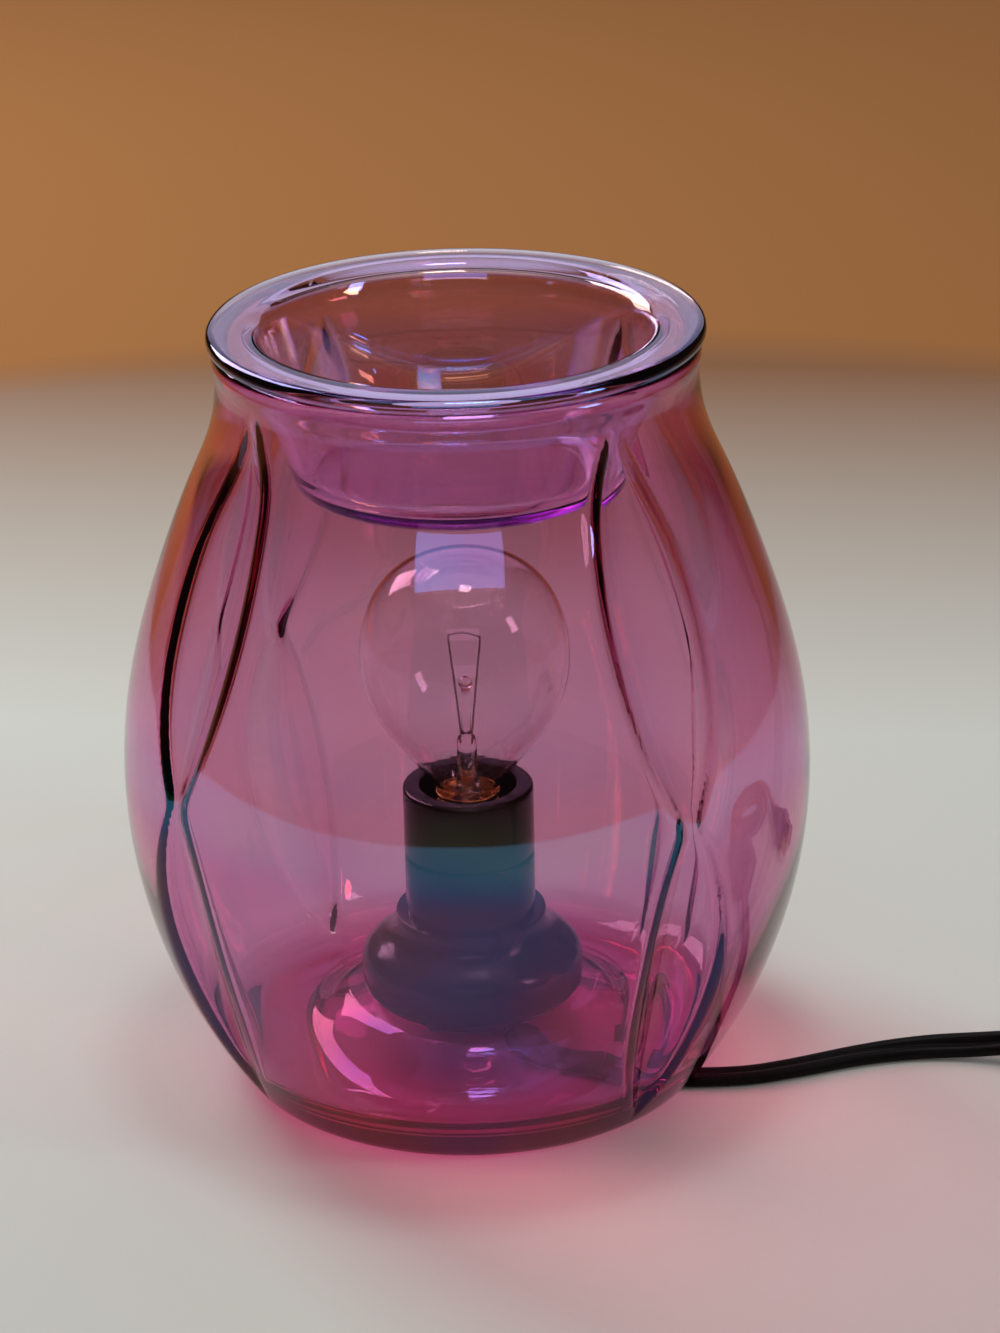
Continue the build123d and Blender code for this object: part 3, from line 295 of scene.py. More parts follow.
far_points = [(194, -3.4, 7), (205, -3.4, 7), (219, -3.4, 2.0), (229, -3.4, 2.0)]
far_points += coil_route
far_points += [(224, 62.8, 10.4), (214, 62.8, 10.4), (202, 62.8, 5.5), (190, 62.8, 5.5)]
cord_far, path_far = flat_cord("cord_far", far_points, [0] * len(far_points))
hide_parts("cord_to_coil", "cord_coil", "cord_to_plug")
cord_far.data.materials.append(vinyl)
bpy.data.objects.remove(outline)

# ---------------------------------------------------------------------------
# Glass jar.  Blown in a mould from purple glass: a barrel with four pinched
# flutes, a thick foot with a raised middle, and a bead round its mouth.  It
# carries a faint bluish lustre.
# ---------------------------------------------------------------------------
def curve(*quarter):
    """Points along cubic arcs given as start, handle, handle, end, handle, ..."""
    points = []
    for i in range(0, len(quarter) - 1, 3):
        flat = [Vector((r, 0, z)) for r, z in quarter[i:i + 4]]
        span = (flat[3] - flat[0]).length
        points += [(p.x, p.z) for p in interpolate_bezier(*flat, max(4, int(span / 1.6)))][:-1]
    return points + [quarter[-1]]


def turned(half_outline, steps, closed=True):
    """Spins a half outline, in mm, into a shell round the Z axis."""
    shape = bmesh.new()
    rim = [shape.verts.new((r * MM, 0, z * MM)) for r, z in half_outline]
    edges = [shape.edges.new(pair) for pair in zip(rim, rim[1:])]
    if closed:
        edges.append(shape.edges.new((rim[-1], rim[0])))
    bmesh.ops.spin(shape, geom=rim + edges, cent=(0, 0, 0), axis=(0, 0, 1), angle=2 * pi, steps=steps,
                   use_merge=True)
    bmesh.ops.remove_doubles(shape, verts=shape.verts, dist=0.002 * MM)
    bmesh.ops.recalc_face_normals(shape, faces=shape.faces)
    return shape


def finish_piece(name, shape, body, node, material, smooth_angle=40):
    """Turns a bmesh into a piece that stands for a CAD node."""
    mesh = bpy.data.meshes.new(name)
    shape.to_mesh(mesh)
    shape.free()
    piece = bpy.data.objects.new(name, mesh)
    scene.collection.objects.link(piece)
    mesh.shade_smooth()
    mesh.set_sharp_from_angle(angle=radians(smooth_angle))
    mesh.materials.append(material)
    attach(piece, body)
    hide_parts(node)
    return piece


jar_outline = []
jar_outline += curve((44.4, 0.0), (47.2, 0.0), (49.7, 0.15), (50.7, 1.6))[:-1]
jar_outline += curve((50.7, 1.6), (64.9, 20.9), (72.5, 44.1), (72.5, 68.0),
                     (72.5, 85.0), (68.7, 98.8), (63.4, 113.8), (61.0, 120.6), (58.3, 127.6), (55.6, 133.5),
                     (52.5, 140.3), (49.4, 145.6), (49.3, 156.6))[:-1]
jar_outline += curve((49.3, 156.6), (49.3, 158.2), (49.9, 158.6), (49.9, 160.2))[:-1]
jar_outline += curve((49.9, 160.2), (49.9, 162.0), (49.2, 162.95), (48.0, 162.95))[:-1]
jar_outline += curve((48.0, 162.95), (46.8, 162.95), (46.1, 162.3), (46.0, 160.8))[:-1]
jar_outline += curve((46.0, 160.8), (46.0, 158.5), (46.0, 157.5), (46.0, 156.2),
                     (46.0, 144.5), (49.4, 139.3), (52.6, 132.5), (55.4, 126.6), (58.0, 119.6), (60.4, 112.8),
                     (65.6, 98.2), (69.5, 84.7), (69.5, 68.0), (69.5, 45.0), (62.6, 31.6), (55.6, 15.2))[:-1]
jar_outline += curve((55.6, 15.2), (53.2, 8.6), (44.6, 6.6), (38.5, 7.6), (37.4, 7.8), (36.4, 8.0),
                     (35.5, 8.4), (31.6, 10.1), (30.0, 14.45), (23.5, 14.45))[:-1]
jar_outline += [(23.5, 14.45), (18, 14.45), (10.6, 14.45), (10.6, 12.5), (10.6, 10.5), (16.0, 10.5)]
jar_outline += curve((20.5, 10.5), (24.5, 10.5), (30.0, 6.0), (35.2, 2.0))[:-1]
jar_outline += curve((35.2, 2.0), (36.2, 1.2), (36.2, 0.0), (37.6, 0.0))[:-1]
jar_outline += [(37.6, 0.0), (39.5, 0.0), (41.8, 0.0)]

flute_lobes = [(42.0, 38.0, 10.5), (114.0, 40.0, 11.0)]
lobe_ends = 2.2
flute_swing = radians(5)
flute_slope = 0.46
flute_waist = 2.6
crease_soft = 0.16
flute_low, flute_high = 5.0, 154.0
flute_run_out = 8
flute_count = 4
pillow_deep = 0.9
gather = 0.6
raised_middle_r, raised_middle_top = 45.5, 60
notch_turn = radians(-20)
notch_half, notch_rise = 7.5, 4.6
notch_margin = 2
notch_from_r = 30


def flute_half(height):
    """Half width of a flute at this height: two long lenses with a narrow waist between them."""
    half = 0.0
    for middle, reach, widest in flute_lobes:
        away = abs(height - middle) / reach
        if away < 1:
            half = max(half, widest * (1 - away ** lobe_ends))
    ends = min(1.0, max(0.0, (height - flute_low) / flute_run_out),
               max(0.0, (flute_high - height) / flute_run_out))
    return max(half, flute_waist * ends)


# The wall is pressed in along each flute and drawn in a little between them.
# The mesh is gathered towards the flutes, and the foot is arched over the cord.
jar = turned(jar_outline, 360)
for vert in jar.verts:
    x, y, z = vert.co / MM
    radius = hypot(x, y)
    turn = atan2(y, x)
    turn += gather / flute_count * sin(flute_count * turn)
    x, y = radius * cos(turn), radius * sin(turn)
    if radius > raised_middle_r or z > raised_middle_top:
        sector = 2 * pi / flute_count
        off = (turn % sector) - sector / 2
        aside = off * radius + (flute_swing * radius if turn < -pi / 2 else 0)
        half = flute_half(z)
        if half > 0:
            lens = 1 - (aside / half) ** 2
            press = flute_slope * half * (lens + sqrt(lens * lens + crease_soft ** 2)) / 2
            pillow = pillow_deep * sin(pi * (z - flute_low) / (flute_high - flute_low))
            pillow *= 0.5 + 0.5 * cos(flute_count * off)
            shrink = (radius - press - pillow) / radius
            x, y = x * shrink, y * shrink
    along = x * cos(notch_turn) + y * sin(notch_turn)
    aside = y * cos(notch_turn) - x * sin(notch_turn)
    if along > notch_from_r and abs(aside) < notch_half + notch_margin and radius > notch_from_r:
        share = min(1.0, abs(aside) / notch_half)
        z = max(z, notch_rise * sqrt(1 - share * share))
    vert.co = Vector((x, y, z)) * MM

# Soda-lime glass, blown and fire-polished: clear and smooth, so purple only
# where light runs through much of it.  The lustre film adds a lavender gleam,
# and slow waves in the wall bend what is seen through.
film_thin, film_thick = 0.93, 1.07
# The lustre film is thickest in a band round the belly and thinner above and below it: painted reflection, a
# brighter teal gleam in the band and darker reflections above and below.
band_height, band_half, band_fade = 79.0, 2.0, 13.0
foot_from, foot_to = 44.0, 50.0


def clear_glass(name, ior, film_nm, film_ior, body_tint, body_density, wave_mm, wave_bump, glow,
                outside_only=False, film_low=1.0, foot_glow=None):
    """Glass with a body tint by depth.

    The lamps' light passes it with the colour glow, or foot_glow near the
    foot's middle.  With outside_only the lustre film stays off the inner
    faces, and past a band round the belly it thins to film_low of itself:
    a painted reflection that gleams brighter in the band and darker above
    and below it.
    """
    material, tree = new_material(name)
    where = add_node(tree, "TexCoord")
    waves = add_node(tree, "TexNoise", {"Vector": where.outputs["Object"], "Scale": 1000 / wave_mm,
                                        "Detail": 1.5})
    bump = add_node(tree, "Bump", {"Height": waves.outputs["Fac"], "Strength": wave_bump, "Distance": 0.001})
    film = add_node(tree, "MapRange", {"Value": waves.outputs["Fac"], "From Min": 0.3, "From Max": 0.7,
                                       "To Min": film_nm * film_thin, "To Max": film_nm * film_thick})
    glass = add_node(tree, "BsdfPrincipled", {
        "Base Color": (1, 1, 1, 1), "Roughness": 0.0, "IOR": ior, "Transmission Weight": 1.0,
        "Thin Film IOR": film_ior, "Normal": bump.outputs[0]})
    if film_nm:
        tree.links.new(film.outputs[0], glass.inputs["Thin Film Thickness"])
    if outside_only:
        face = add_node(tree, "NewGeometry")
        flat = add_node(tree, "VectorMath", {0: where.outputs["Object"], 1: (1, 1, 0)},
                        operation="MULTIPLY")
        lean = add_node(tree, "VectorMath", {0: face.outputs["True Normal"], 1: flat.outputs[0]},
                        operation="DOT_PRODUCT")
        toward = add_node(tree, "Math", {0: lean.outputs["Value"], 1: 0.0}, operation="GREATER_THAN")
        inside = add_node(tree, "Math", {0: toward.outputs[0], 1: face.outputs["Backfacing"]},
                          operation="SUBTRACT")
        outside = add_node(tree, "Math", {0: inside.outputs[0]}, operation="ABSOLUTE")
        height = add_node(tree, "SeparateXYZ", {"Vector": where.outputs["Object"]})
        past = add_node(tree, "Math", {0: height.outputs["Z"], 1: band_height * MM}, operation="SUBTRACT")
        away = add_node(tree, "Math", {0: past.outputs[0]}, operation="ABSOLUTE")
        painted_gleam_share = add_node(tree, "MapRange", {"Value": away.outputs[0], "From Min": band_half * MM,
                                              "From Max": band_fade * MM, "To Min": 1.0,
                                              "To Max": film_low}, interpolation_type="SMOOTHSTEP")
        grown = add_node(tree, "Math", {0: film.outputs[0], 1: painted_gleam_share.outputs[0]}, operation="MULTIPLY")
        coat = add_node(tree, "Math", {0: grown.outputs[0], 1: outside.outputs[0]}, operation="MULTIPLY")
        tree.links.new(coat.outputs[0], glass.inputs["Thin Film Thickness"])
    from_foot = add_node(tree, "VectorMath", {0: where.outputs["Object"]}, operation="LENGTH")
    foot = add_node(tree, "MapRange", {"Value": from_foot.outputs["Value"], "From Min": foot_from * MM,
                                       "From Max": foot_to * MM})
    passed = add_node(tree, "MixRGB", {"Fac": foot.outputs[0], "Color1": foot_glow or glow,
                                       "Color2": glow})
    clear = add_node(tree, "BsdfTransparent", {"Color": passed.outputs[0]})
    rays = add_node(tree, "LightPath")
    mixed = add_node(tree, "MixShader", {"Fac": rays.outputs["Is Shadow Ray"], 1: glass.outputs[0],
                                         2: clear.outputs[0]})
    depth = add_node(tree, "VolumeAbsorption", {"Color": body_tint, "Density": body_density})
    add_node(tree, "OutputMaterial", {"Surface": mixed.outputs[0], "Volume": depth.outputs[0]})
    return material


jar_glass = clear_glass("blown_purple_glass_with_lustre", ior=1.52, film_nm=176.0, film_ior=1.95,
                        body_tint=(0.775, 0.035, 0.47, 1), body_density=198.0, wave_mm=30.0,
                        wave_bump=0.10, glow=(0.975, 0.87, 0.79, 1), outside_only=True,
                        film_low=0.84, foot_glow=(0.86, 0.42, 0.98, 1))
finish_piece("jar", jar, "warmer", "glass_jar", jar_glass, 60)

# ---------------------------------------------------------------------------
# Dish.  Pressed glass, paler and a touch lavender: a flat flange that lies on
# the jar's bead, and a tapered cup that hangs inside to hold the wax.
# ---------------------------------------------------------------------------
dish_outline = []
dish_outline += curve((0.0, 132.65), (10, 132.6), (20, 132.6), (30.6, 132.6))[:-1]
dish_outline += curve((30.6, 132.6), (32.6, 132.6), (34.2, 134.0), (34.6, 136.2))[:-1]
dish_outline += curve((34.6, 136.2), (37.2, 144.8), (39.8, 153.4), (42.2, 161.4))[:-1]
dish_outline += curve((42.2, 161.4), (42.5, 162.5), (43.0, 163.0), (44.0, 163.0))[:-1]
dish_outline += [(44.0, 163.0), (46.0, 163.0), (48.0, 163.0)]
dish_outline += curve((49.5, 163.0), (50.4, 163.0), (50.8, 163.4), (50.8, 164.3))[:-1]
dish_outline += curve((50.8, 164.3), (50.8, 165.4), (50.2, 166.0), (49.2, 166.0))[:-1]
dish_outline += [(49.2, 166.0), (47.0, 166.0), (45.0, 166.0)]
dish_outline += curve((43.2, 166.0), (41.4, 166.0), (40.2, 164.9), (39.6, 163.2))[:-1]
dish_outline += curve((39.6, 163.2), (37.2, 155.2), (34.8, 147.2), (32.5, 139.2))[:-1]
dish_outline += curve((32.5, 139.2), (31.8, 136.4), (30.6, 135.4), (28.6, 135.4))[:-1]
dish_outline += curve((28.6, 135.4), (19, 135.4), (9, 135.4), (0.0, 135.35))
dish = turned(dish_outline, 256, closed=False)

# Pressed soda-lime glass: lavender where it is thick, with a thin lustre all
# over and a gently uneven skin from the mould.
dish_glass = clear_glass("pressed_lavender_glass", ior=1.52, film_nm=155.0, film_ior=2.0,
                         body_tint=(0.72, 0.26, 0.84, 1), body_density=70.0, wave_mm=26.0,
                         wave_bump=0.06, glow=(0.97, 0.95, 0.97, 1))
finish_piece("dish", dish, "dish", "wax_dish", dish_glass, 60)

# ---------------------------------------------------------------------------
# Bulb.  A clear blown globe on a small screw cap; a pressed glass stem holds
# the two lead wires and the filament.
# ---------------------------------------------------------------------------
bulb_outline = [(5.0, 53.3), (5.6, 53.3)]
bulb_outline += curve((5.6, 53.6), (5.65, 56.0), (5.65, 58.4), (5.65, 60.8), (5.65, 62.6), (6.8, 63.2),
                      (8.2, 65.0))[:-1]
bulb_outline += curve((8.2, 65.0), (11.0, 68.9), (13.9, 72.7), (16.7, 76.4), (22.6, 84.3), (23.9, 94.5),
                      (19.9, 103.8), (16.2, 112.4), (8.9, 116.2), (0.0, 116.2))
bulb_outline += curve((0.0, 115.6), (8.6, 115.6), (15.8, 111.9), (19.35, 103.5), (23.2, 94.6), (22.0, 84.6),
                      (16.2, 76.8), (13.4, 73.1), (10.4, 69.2), (7.6, 65.4))[:-1]
bulb_outline += curve((7.6, 65.4), (6.4, 63.9), (5.05, 62.8), (5.05, 60.8), (5.05, 58.4), (5.05, 56.0),
                      (5.05, 53.6))
bulb = turned(bulb_outline, 160)

# Thin clear bulb glass: nothing but its reflections and a grey edge shows.
bulb_glass = clear_glass("thin_clear_glass", ior=1.47, film_nm=0, film_ior=1.33,
                         body_tint=(0.9, 0.9, 0.88, 1), body_density=10.0, wave_mm=18.0,
                         wave_bump=0.04, glow=(0.98, 0.98, 0.98, 1))
finish_piece("globe", bulb, "bulb", "bulb_glass", bulb_glass, 60)

# ---------------------------------------------------------------------------
# Bulb's stem and cap.  The stem is pressed flat where it seals the two lead
# wires.  The cap is rolled brass with a coarse thread, cemented on.
# ---------------------------------------------------------------------------
stem_outline = [(0.0, 54.3), (2.4, 54.3), (5.0, 54.3)]
stem_outline += curve((5.0, 55.6), (4.6, 58.6), (2.9, 60.0), (2.3, 64.0), (2.1, 67.0), (1.9, 70.5),
                      (1.9, 73.5))[:-1]
stem_outline += curve((1.9, 73.5), (1.9, 74.2), (1.1, 74.2), (1.0, 75.4))
stem_outline += [(1.0, 79.0), (1.0, 83.0)]
stem_outline += curve((1.0, 85.2), (1.1, 85.6), (1.5, 85.7), (1.5, 86.2), (1.5, 87.0), (0.8, 87.5),
                      (0.0, 87.5))
stem = turned(stem_outline, 64, closed=False)
press_from, press_to = 66.0, 75.0
press_thin, press_wide = 0.45, 0.12
for vert in stem.verts:
    height = vert.co.z / MM
    if press_from < height < press_to:
        share = sin(pi * (height - press_from) / (press_to - press_from))
        vert.co.y *= 1 - press_thin * share
        vert.co.x *= 1 + press_wide * share
finish_piece("stem", stem, "bulb", "bulb_stem", bulb_glass, 60)

cap_foot, cap_shoulder, cap_step = 47.3, 59.5, 0.11
cap_r = 5.95
cap_sheet = 0.25
thread_low, thread_high = 47.4, 59.2
thread_fade = 0.8
thread_pitch = 2.54
thread_deep = 0.36
cap_line = [(cap_r, cap_foot + cap_step * i) for i in range(int((cap_shoulder - cap_foot) / cap_step) + 1)]
cap_line += [(6.05, 59.8), (6.35, 60.5), (6.62, 61.0), (6.8, 61.3), (6.8, 61.7), (6.78, 61.95)]
cap = turned(cap_line, 72, closed=False)
for vert in cap.verts:
    height = vert.co.z / MM
    fade = max(0.0, min(1.0, (height - thread_low) / thread_fade, (thread_high - height) / thread_fade))
    turn = atan2(vert.co.y, vert.co.x)
    wave = 0.5 + 0.5 * cos(2 * pi * height / thread_pitch - turn)
    shrink = 1 - thread_deep * fade * wave / cap_r
    vert.co.x *= shrink
    vert.co.y *= shrink
if sum(f.normal.dot(f.calc_center_median() * Vector((1, 1, 0))) for f in cap.faces) < 0:
    bmesh.ops.reverse_faces(cap, faces=cap.faces)

# Rolled brass: warm yellow metal, still bright, with fine drawn lines round it
# and a little tarnish in spots.
def metal(name, bright, dull, rough_low, rough_high, grain_scale, grain):
    """Metal with slow tarnish from bright to dull and a fine grain of this scale on each axis."""
    material, tree = new_material(name)
    where = add_node(tree, "TexCoord")
    spots = add_node(tree, "TexNoise", {"Vector": where.outputs["Object"], "Scale": 260.0, "Detail": 5.0})
    tarnish = add_node(tree, "MixRGB", {"Fac": spots.outputs["Fac"], "Color1": linear(bright),
                                        "Color2": linear(dull)})
    stretch = add_node(tree, "Mapping", {"Vector": where.outputs["Object"], "Scale": grain_scale})
    lines = add_node(tree, "TexNoise", {"Vector": stretch.outputs[0], "Scale": 1.0, "Detail": 3.0})
    rough = add_node(tree, "MapRange", {"Value": lines.outputs["Fac"], "To Min": rough_low,
                                        "To Max": rough_high})
    bump = add_node(tree, "Bump", {"Height": lines.outputs["Fac"], "Strength": grain, "Distance": 0.00005})
    face = add_node(tree, "BsdfPrincipled", {"Base Color": tarnish.outputs[0], "Metallic": 1.0,
                                             "Roughness": rough.outputs[0], "Normal": bump.outputs[0]})
    add_node(tree, "OutputMaterial", {"Surface": face.outputs[0]})
    return material


rolled_brass = metal("rolled_brass", "c99a52", "8a6534", 0.16, 0.34, (300, 300, 9000), 0.25)
cap_piece = finish_piece("cap", cap, "bulb", "bulb_cap", rolled_brass, 50)
wall = cap_piece.modifiers.new("wall", "SOLIDIFY")
wall.thickness = cap_sheet * MM
wall.offset = -1

# ---------------------------------------------------------------------------
# Lead wires and filament.  Nickel wires lean outwards from the press, and a
# fine coil of tungsten hangs between their hooked ends.
# ---------------------------------------------------------------------------
def round_wire(name, points, radius, steps=12):
    """Round wire through these points, in mm."""
    line = bpy.data.curves.new(name, "CURVE")
    line.dimensions = "3D"
    line.bevel_depth = radius * MM
    line.bevel_resolution = 3
    line.use_fill_caps = True
    line.resolution_u = steps
    spline = line.splines.new("NURBS")
    spline.points.add(len(points) - 1)
    for point, (x, y, z) in zip(spline.points, points):
        point.co = (x * MM, y * MM, z * MM, 1)
    spline.order_u = 3
    spline.use_endpoint_u = True
    carrier = bpy.data.objects.new(name, line)
    scene.collection.objects.link(carrier)
    bpy.context.view_layer.update()
    skin = bpy.data.meshes.new_from_object(carrier.evaluated_get(bpy.context.evaluated_depsgraph_get()))
    bpy.data.objects.remove(carrier)
    shape = bmesh.new()
    shape.from_mesh(skin)
    bpy.data.meshes.remove(skin)
    bmesh.ops.remove_doubles(shape, verts=shape.verts, dist=0.002 * MM)
    bmesh.ops.recalc_face_normals(shape, faces=shape.faces)
    return shape


filament_turn = radians(-6)
lead_r = 0.24
lead_route = [(1.0, 72.5), (1.25, 75), (1.7, 80), (3.0, 92), (3.5, 96.3), (3.2, 96.9)]
lead_shape = bmesh.new()
for side in (-1, 1):
    out = Vector((cos(filament_turn) * side, sin(filament_turn) * side, 0))
    route = [out * r + Vector((0, 0, z)) for r, z in lead_route]
    part = round_wire("lead", route, lead_r)
    half = bpy.data.meshes.new("half")
    part.to_mesh(half)
    part.free()
    lead_shape.from_mesh(half)
    bpy.data.meshes.remove(half)

# Drawn nickel: grey, bright, with fine lines along the wire.
drawn_nickel = metal("drawn_nickel_wire", "b9b7b0", "7d7a74", 0.20, 0.40, (4000, 4000, 400), 0.15)
finish_piece("leads", lead_shape, "bulb", "lead_wires", drawn_nickel)

coil_turns, coil_steps = 26, 8
coil_half, coil_rise, coil_bow, coil_r = 3.4, 96.5, 0.8, 0.2
filament_r = 0.06
filament_points = []
for step in range(coil_turns * coil_steps + 1):
    share = step / (coil_turns * coil_steps)
    along = (share * 2 - 1) * coil_half
    rise = coil_rise + coil_bow * (1 - (along / coil_half) ** 2)
    turn = share * coil_turns * 2 * pi
    out = Vector((cos(filament_turn), sin(filament_turn), 0))
    aside = Vector((-sin(filament_turn), cos(filament_turn), 0))
    filament_points.append(out * along + aside * coil_r * cos(turn)
                           + Vector((0, 0, rise + coil_r * sin(turn))))

# Coiled tungsten: dark grey and dull between its turns.
tungsten = metal("coiled_tungsten", "6f6b66", "44413d", 0.30, 0.50, (900, 900, 900), 0.2)
finish_piece("filament_wire", round_wire("filament", filament_points, filament_r, 2), "bulb", "filament",
             tungsten)

# ---------------------------------------------------------------------------
# Lampholder.  Moulded phenolic in three pieces: a flared skirt that stands on
# the glass, a plain tube with the contacts, and a ring screwed on over it.
# ---------------------------------------------------------------------------
def moulded(name, dark, pale, rough_low, rough_high, grain_mm, grain, shine=0.5):
    """Moulded plastic, glass or rubber, from dark to a dusty pale, with a fine grain in its skin."""
    material, tree = new_material(name)
    where = add_node(tree, "TexCoord")
    dust = add_node(tree, "TexNoise", {"Vector": where.outputs["Object"], "Scale": 180.0, "Detail": 7.0})
    share = add_node(tree, "MapRange", {"Value": dust.outputs["Fac"], "From Min": 0.45, "From Max": 0.85})
    colour = add_node(tree, "MixRGB", {"Fac": share.outputs[0], "Color1": linear(dark),
                                       "Color2": linear(pale)})
    rough = add_node(tree, "MapRange", {"Value": dust.outputs["Fac"], "To Min": rough_low,
                                        "To Max": rough_high})
    skin_grain = add_node(tree, "TexNoise", {"Vector": where.outputs["Object"], "Scale": 1000 / grain_mm,
                                             "Detail": 2.0})
    bump = add_node(tree, "Bump", {"Height": skin_grain.outputs["Fac"], "Strength": grain,
                                   "Distance": 0.0001})
    face = add_node(tree, "BsdfPrincipled", {"Base Color": colour.outputs[0], "Roughness": rough.outputs[0],
                                             "IOR": 1.52, "Specular IOR Level": shine,
                                             "Normal": bump.outputs[0]})
    add_node(tree, "OutputMaterial", {"Surface": face.outputs[0]})
    return material


# Moulded phenolic: jet black with the polish of its mould.
phenolic = moulded("moulded_phenolic", "030203", "0c0b0b", 0.08, 0.20, 6.0, 0.06, 0.28)
skirt_outline = [(7.5, 4.9), (10.0, 4.9), (10.0, 9.0), (10.0, 15.5), (17.0, 15.5)]
skirt_outline += curve((23.2, 15.5), (23.8, 15.5), (24.0, 15.8), (24.0, 16.4))[:-1]
skirt_outline += curve((24.0, 16.4), (24.0, 18.4), (24.0, 20.4), (24.0, 22.2), (23.6, 27.4), (17.0, 26.9),
                       (16.3, 31.6))[:-1]
skirt_outline += curve((16.3, 31.6), (16.2, 32.4), (16.2, 33.0), (16.2, 33.4), (16.2, 33.8), (16.0, 34.0),
                       (15.6, 34.0))
skirt_outline += [(14.0, 34.0), (14.0, 30.0), (12.2, 30.0), (12.2, 28.0)]
skirt_outline += curve((12.2, 28.0), (17.0, 25.2), (22.2, 25.0), (22.2, 21.6))
skirt_outline += [(22.2, 17.9), (12.0, 17.9), (7.5, 17.9)]
finish_piece("skirt", turned(skirt_outline, 128), "warmer", "holder_skirt", phenolic, 35)

tube_outline = [(12.05, 30.0), (13.95, 30.0), (13.95, 36.0), (13.95, 44.0)]
tube_outline += curve((13.95, 46.9), (13.95, 47.4), (13.75, 47.75), (13.3, 47.75))
tube_outline += [(12.05, 47.75), (12.05, 40.0)]
finish_piece("holder_tube", turned(tube_outline, 128), "warmer", "holder_body",
             phenolic, 35)

ring_outline = [(12.05, 47.85), (13.2, 47.85)]
ring_outline += curve((13.2, 47.85), (13.7, 47.85), (13.95, 48.1), (13.95, 48.6))[:-1]
ring_outline += [(13.95, 48.6), (13.95, 54.0), (13.95, 62.2)]
ring_outline += curve((13.95, 62.3), (13.95, 62.9), (13.6, 63.3), (12.9, 63.3))[:-1]
ring_outline += [(12.9, 63.3), (11.4, 63.3)]
ring_outline += curve((10.8, 63.3), (10.4, 63.3), (10.2, 63.1), (10.2, 62.6))
ring_outline += [(10.2, 61.4), (12.05, 61.4), (12.05, 54.0)]
finish_piece("ring_cap", turned(ring_outline, 128), "warmer", "holder_ring", phenolic, 35)

# ---------------------------------------------------------------------------
# Plug.  Soft vinyl moulded round the blades and the end of the cord: a body
# with grip grooves across its wide faces, and a ribbed tapered strain relief.
# ---------------------------------------------------------------------------
plug_y, plug_z = 62.8, 5.5


def lofted(sections, points=64):
    """Shell through rounded sections (x, half width, half height, squareness), in mm."""
    shape = bmesh.new()
    loops = []
    for x, half_w, half_h, square in sections:
        rim = []
        for i in range(points):
            turn = 2 * pi * i / points
            across = abs(cos(turn)) ** (2 / square) * (1 if cos(turn) >= 0 else -1)
            high = abs(sin(turn)) ** (2 / square) * (1 if sin(turn) >= 0 else -1)
            rim.append(shape.verts.new((x * MM, (plug_y + half_w * across) * MM,
                                        (plug_z + half_h * high) * MM)))
        loops.append([shape.edges.new(pair) for pair in zip(rim, rim[1:] + rim[:1])])
    for one, two in zip(loops, loops[1:]):
        bmesh.ops.bridge_loops(shape, edges=one + two)
    bmesh.ops.holes_fill(shape, edges=loops[0] + loops[-1])
    bmesh.ops.recalc_face_normals(shape, faces=shape.faces)
    return shape


body_from, body_step = 147.4, 0.26
taper_from, taper_run = 154.0, 17.4
groove_from, groove_pitch, groove_deep, groove_share = 157.0, 2.6, 0.45, 0.42
groove_end = groove_from + 5 * groove_pitch
body_sections = [(146.0, 9.5, 4.5, 4.2), (146.15, 9.95, 4.95, 4.2), (146.6, 10.3, 5.3, 4.2),
                 (body_from, 10.5, 5.5, 4.2)]
for step in range(1, 93):
    x = body_from + step * body_step
    taper = max(0.0, (x - taper_from) / taper_run)
    taper = taper * taper * (3 - 2 * taper)
    lap = ((x - groove_from) / groove_pitch) % 1
    grooved = groove_from < x < groove_end and lap < groove_share
    dent = groove_deep * sin(pi * lap / groove_share) if grooved else 0.0
    body_sections.append((x, 10.5 - 4.0 * taper - dent * 0.4, 5.5 - 0.5 * taper - dent, 4.2 - 0.8 * taper))
body_sections += [(171.65, 6.35, 4.85, 3.4), (171.9, 6.05, 4.55, 3.4), (172.0, 5.6, 4.1, 3.4)]

# Moulded vinyl: soft and nearly matt, black with a faint bloom.
soft_vinyl = moulded("moulded_black_vinyl", "0b090a", "1e1b1c", 0.40, 0.56, 0.7, 0.25, 0.30)
plug_moulding = finish_piece("plug_moulding", lofted(body_sections), "warmer", "plug_body",
                             soft_vinyl, 50)

relief_from, relief_step, relief_run = 173.0, 0.2, 19.6
rib_from, rib_pitch, rib_share, rib_deep = 174.2, 3.0, 0.45, 0.75
rib_end = rib_from + 6 * rib_pitch - 1.0
relief_sections = [(171.8, 5.25, 3.75, 3.2), (relief_from, 5.2, 3.7, 3.2)]
for step in range(1, 91):
    x = relief_from + step * relief_step
    along = (x - relief_from) / relief_run
    lap = ((x - rib_from) / rib_pitch) % 1
    grooved = rib_from < x < rib_end and lap < rib_share
    dent = rib_deep * sin(pi * lap / rib_share) ** 0.5 if grooved else 0.0
    relief_sections.append((x, 5.2 - 1.65 * along - dent, 3.7 - 1.5 * along - dent * 0.7,
                            3.2 - 0.6 * along))
relief_sections += [(192.6, 3.5, 2.15, 2.6), (192.9, 3.35, 2.0, 2.6), (193.0, 3.15, 1.8, 2.6),
                    (192.9, 2.95, 1.6, 2.6), (192.5, 2.88, 1.5, 2.8), (190.5, 2.88, 1.5, 2.8)]
plug_sleeve = finish_piece("plug_strain_relief", lofted(relief_sections), "warmer", "plug_relief",
                           soft_vinyl, 50)

